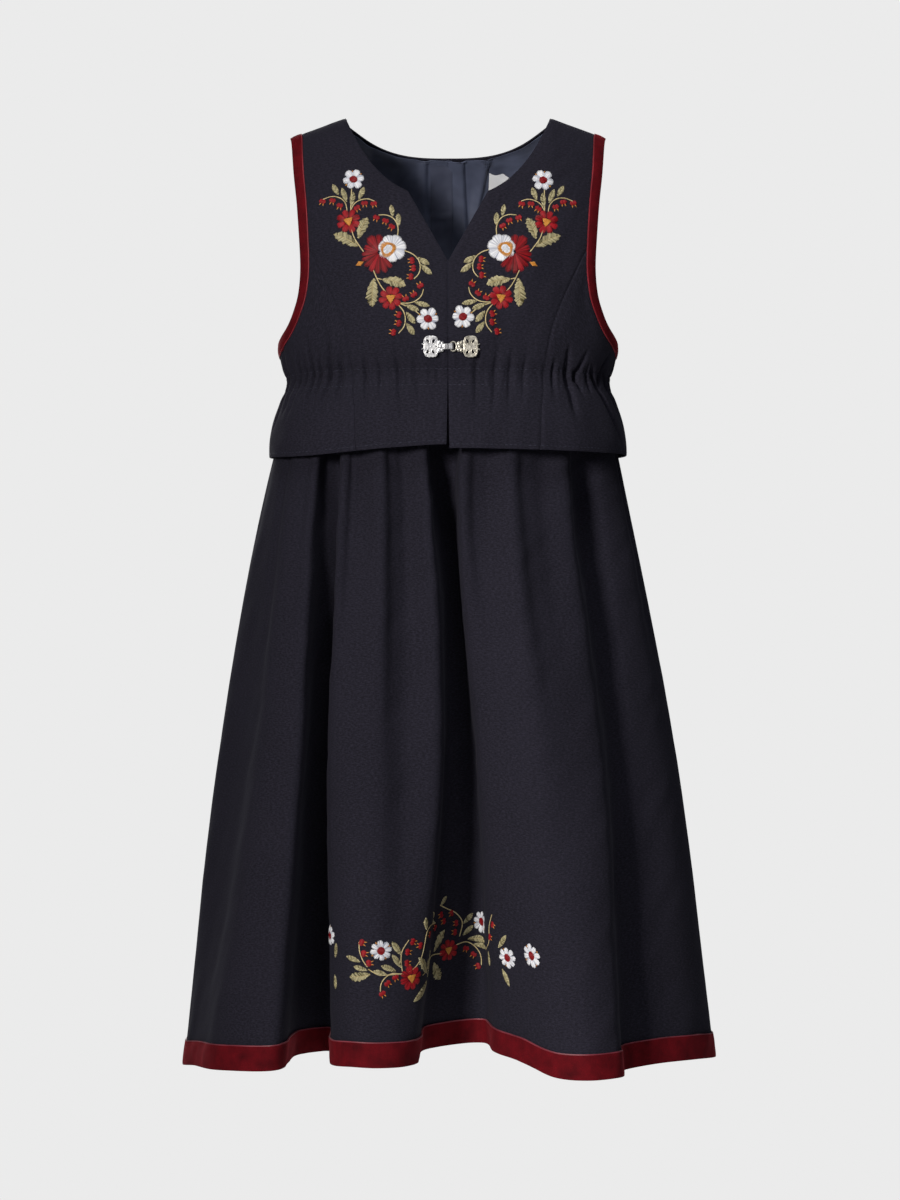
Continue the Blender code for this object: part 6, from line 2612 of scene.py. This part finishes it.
@dataclass
class Topstitching:
    """Rows of running stitches along the casing and the peplum's hem."""

    bodice: Bodice
    stitch: float = 2.3 * MM
    gap: float = 1.5 * MM
    width: float = 0.42 * MM
    crown: float = 0.2 * MM
    root: float = 0.05 * MM
    ahead: float = 0.2 * MM
    hem_rise: float = 3.2 * MM
    stations: tuple[float, ...] = (0.0, 0.15, 0.5, 0.85, 1.0)
    slimness: tuple[float, ...] = (0.4, 0.9, 1, 0.9, 0.4)
    crowning: tuple[float, ...] = (0.02, 0.8, 1, 0.8, 0.02)

    def route(self, points: Array, outs: Array, height: float | None) -> Pair:
        """A line across a panel, at one height or beside its hem, and the way out along it."""
        rise = points[..., 2] if height is not None else lengths(points, 0)
        level = height if height is not None else self.hem_rise
        line, away = [], []
        for column in range(points.shape[1]):
            reach = rise[:, column]
            line.append([np.interp(level, reach, points[:, column, i]) for i in range(3)])
            away.append([np.interp(level, reach, outs[:, column, i]) for i in range(3)])
        return np.array(line), unit(np.array(away))

    def ridges(self, line: Array, away: Array, offset: float) -> Array:
        """The corners of each stitch of a row: stitches by five stations by three points."""
        run = lengths(line[None], 1)[0]
        starts = np.arange(offset, run[-1] - self.stitch, self.stitch + self.gap)
        at = (starts[:, None] + np.array(self.stations) * self.stitch).ravel()

        def read(values: Array, places: Array) -> Array:
            return np.stack([np.interp(places, run, values[:, i]) for i in range(3)], axis=-1)

        spots, out = read(line, at), unit(read(away, at))
        step = read(line, at + self.ahead) - spots
        beside = unit(np.cross(out, step + 1e-9 * np.array([1, 0, 0])))
        slim = np.tile(self.slimness, len(starts))[:, None] * self.width / 2
        crown = np.tile(self.crowning, len(starts))[:, None] * self.crown
        root = out * self.root
        rows = [spots - beside * slim - root, spots + out * crown, spots + beside * slim - root]
        return np.stack(rows, axis=1).reshape(len(starts), 5, 3, 3)

    def build(self) -> list[Piece]:
        """Sews every row on every panel.

        Returns:
            The thread.
        """
        dice = np.random.default_rng(11)
        rows = []
        for part in Part:
            for side in Side:
                points, outs = self.bodice.panel(part, side)
                for height in (*self.bodice.stitch_lines, None):
                    line, away = self.route(points, outs, height)
                    ridge = self.ridges(line, away, float(dice.uniform(0, self.gap)))
                    rows.append(ridge if side is Side.RIGHT else ridge[:, :, ::-1])
        corners = np.concatenate(rows)
        shades = dice.uniform(0, 1, len(corners))
        thread = ridge_mesh("casing_thread", corners, np.zeros(len(corners), int), shades)
        thread.data.materials.append(self.bodice.finishes.topstitch)
        return [belong(thread, "wool")]


@dataclass(frozen=True)
class Lamp:
    """A soft square light: its name, its place, the length of its side, its power in watts and its tint."""

    name: str
    place: Place
    size: float
    power: float
    colour: str


LAMPS = (
    Lamp("key light", (-1.6, -2.5, 0.3), 0.7, 112, "#fffaf4"),
    Lamp("fill light", (1.0, -3.0, 0.3), 1.8, 4, "#f4f6ff"),
    Lamp("top light", (0.1, -1.0, 1.9), 1.0, 16, "#ffffff"),
    Lamp("back light", (-0.6, 2.4, 0.6), 1.8, 45, "#ffffff"),
)


@dataclass
class Studio:
    """A pale floor, soft lights and the camera at the photograph's view."""

    camera_place: Place = CAMERA_PLACE
    lens: float = 70.0
    sensor: float = 36.0
    middle: Place = (0, 0, -0.38)
    floor_height: float = -1.62
    floor_size: float = 3.2
    paper: str = "#ebebeb"
    sky: str = "#eef0ff"
    glow: float = 0.05
    black: str = "#101010"
    card_place: Place = (-1.347, -0.935, -0.1)
    card_size: Spot = (1.2, 2.6)
    card_turn: float = -33.7

    def light(self, lamp: Lamp) -> None:
        """Adds a soft square light that looks at the dress's middle."""
        bpy.ops.object.light_add(type="AREA", location=lamp.place)
        light = bpy.context.object
        light.name = light.data.name = lamp.name
        light.data.size = lamp.size
        light.data.energy = lamp.power
        light.data.color = linear(lamp.colour)[:3]
        way = np.array(self.middle) - np.array(lamp.place)
        flat = math.hypot(way[0], way[1])
        light.rotation_euler = (math.atan2(flat, -way[2]), 0, math.atan2(way[0], -way[1]) + math.pi)

    def card(self) -> None:
        """Stands a dark card half-way to the key light, which softly dims the dress's left side."""
        bpy.ops.mesh.primitive_plane_add(size=1, location=self.card_place)
        card = bpy.context.object
        card.name = "shading_card"
        card.scale = (*self.card_size, 1)
        card.rotation_euler = (math.pi / 2, 0, math.radians(self.card_turn))
        card.visible_camera = False
        recipe = Recipe("black card")
        recipe.surface(Base_Color=linear(self.black), Roughness=1.0)
        card.data.materials.append(recipe.material)

    def world(self) -> None:
        """Makes the pale surroundings, which light the dress only a little."""
        world = bpy.data.worlds.new("studio")
        bpy.context.scene.world = world
        world.use_nodes = True
        nodes, links = world.node_tree.nodes, world.node_tree.links
        paper = nodes["Background"]
        paper.inputs["Color"].default_value = linear(self.paper)
        glow = nodes.new("ShaderNodeBackground")
        glow.inputs["Color"].default_value = linear(self.sky)
        glow.inputs["Strength"].default_value = self.glow
        seen = nodes.new("ShaderNodeLightPath")
        blend = nodes.new("ShaderNodeMixShader")
        links.new(seen.outputs["Is Camera Ray"], blend.inputs[0])
        links.new(glow.outputs[0], blend.inputs[1])
        links.new(paper.outputs[0], blend.inputs[2])
        links.new(blend.outputs[0], nodes["World Output"].inputs["Surface"])

    def build(self) -> None:
        """Sets up the floor, the surroundings, the lights and the camera."""
        bpy.ops.object.select_all(action="DESELECT")
        bpy.ops.mesh.primitive_plane_add(size=self.floor_size, location=(0, 0, self.floor_height))
        floor = bpy.context.object
        floor.name = "studio_floor"
        recipe = Recipe("pale studio paper")
        recipe.surface(Base_Color=linear(self.paper), Roughness=0.9)
        floor.data.materials.append(recipe.material)
        bpy.context.scene.view_settings.view_transform = "Standard"
        self.card()
        self.world()
        for lamp in LAMPS:
            self.light(lamp)
        bpy.ops.object.camera_add(location=self.camera_place, rotation=(math.pi / 2, 0, 0))
        camera = bpy.context.object
        camera.name = "camera"
        camera.data.lens = self.lens
        camera.data.sensor_width = self.sensor
        bpy.context.scene.camera = camera


def main() -> None:
    """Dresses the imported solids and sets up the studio."""
    logging.basicConfig(level=logging.INFO, format="%(message)s")
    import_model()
    bpy.ops.object.select_all(action="DESELECT")
    finishes = Finishes()
    Studio().build()
    bodice, skirt = Bodice(finishes), Skirt(finishes)
    cloths = (bodice, ArmholeBands(finishes), BackLining(finishes), skirt)
    rest = (BackButtons(finishes), Clasp(finishes), Topstitching(bodice))
    pieces = [piece for maker in (*cloths, *rest) for piece in maker.build()]
    fronts = {side: bpy.data.objects[f"front_{side.value}_cloth"] for side in Side}
    flosses = [yarn.finish().build() for yarn in Yarn]
    pieces += Embroidery(flosses).build(fronts, skirt)
    LOG.info("%d pieces", len(pieces))


if __name__ == "__main__":
    main()
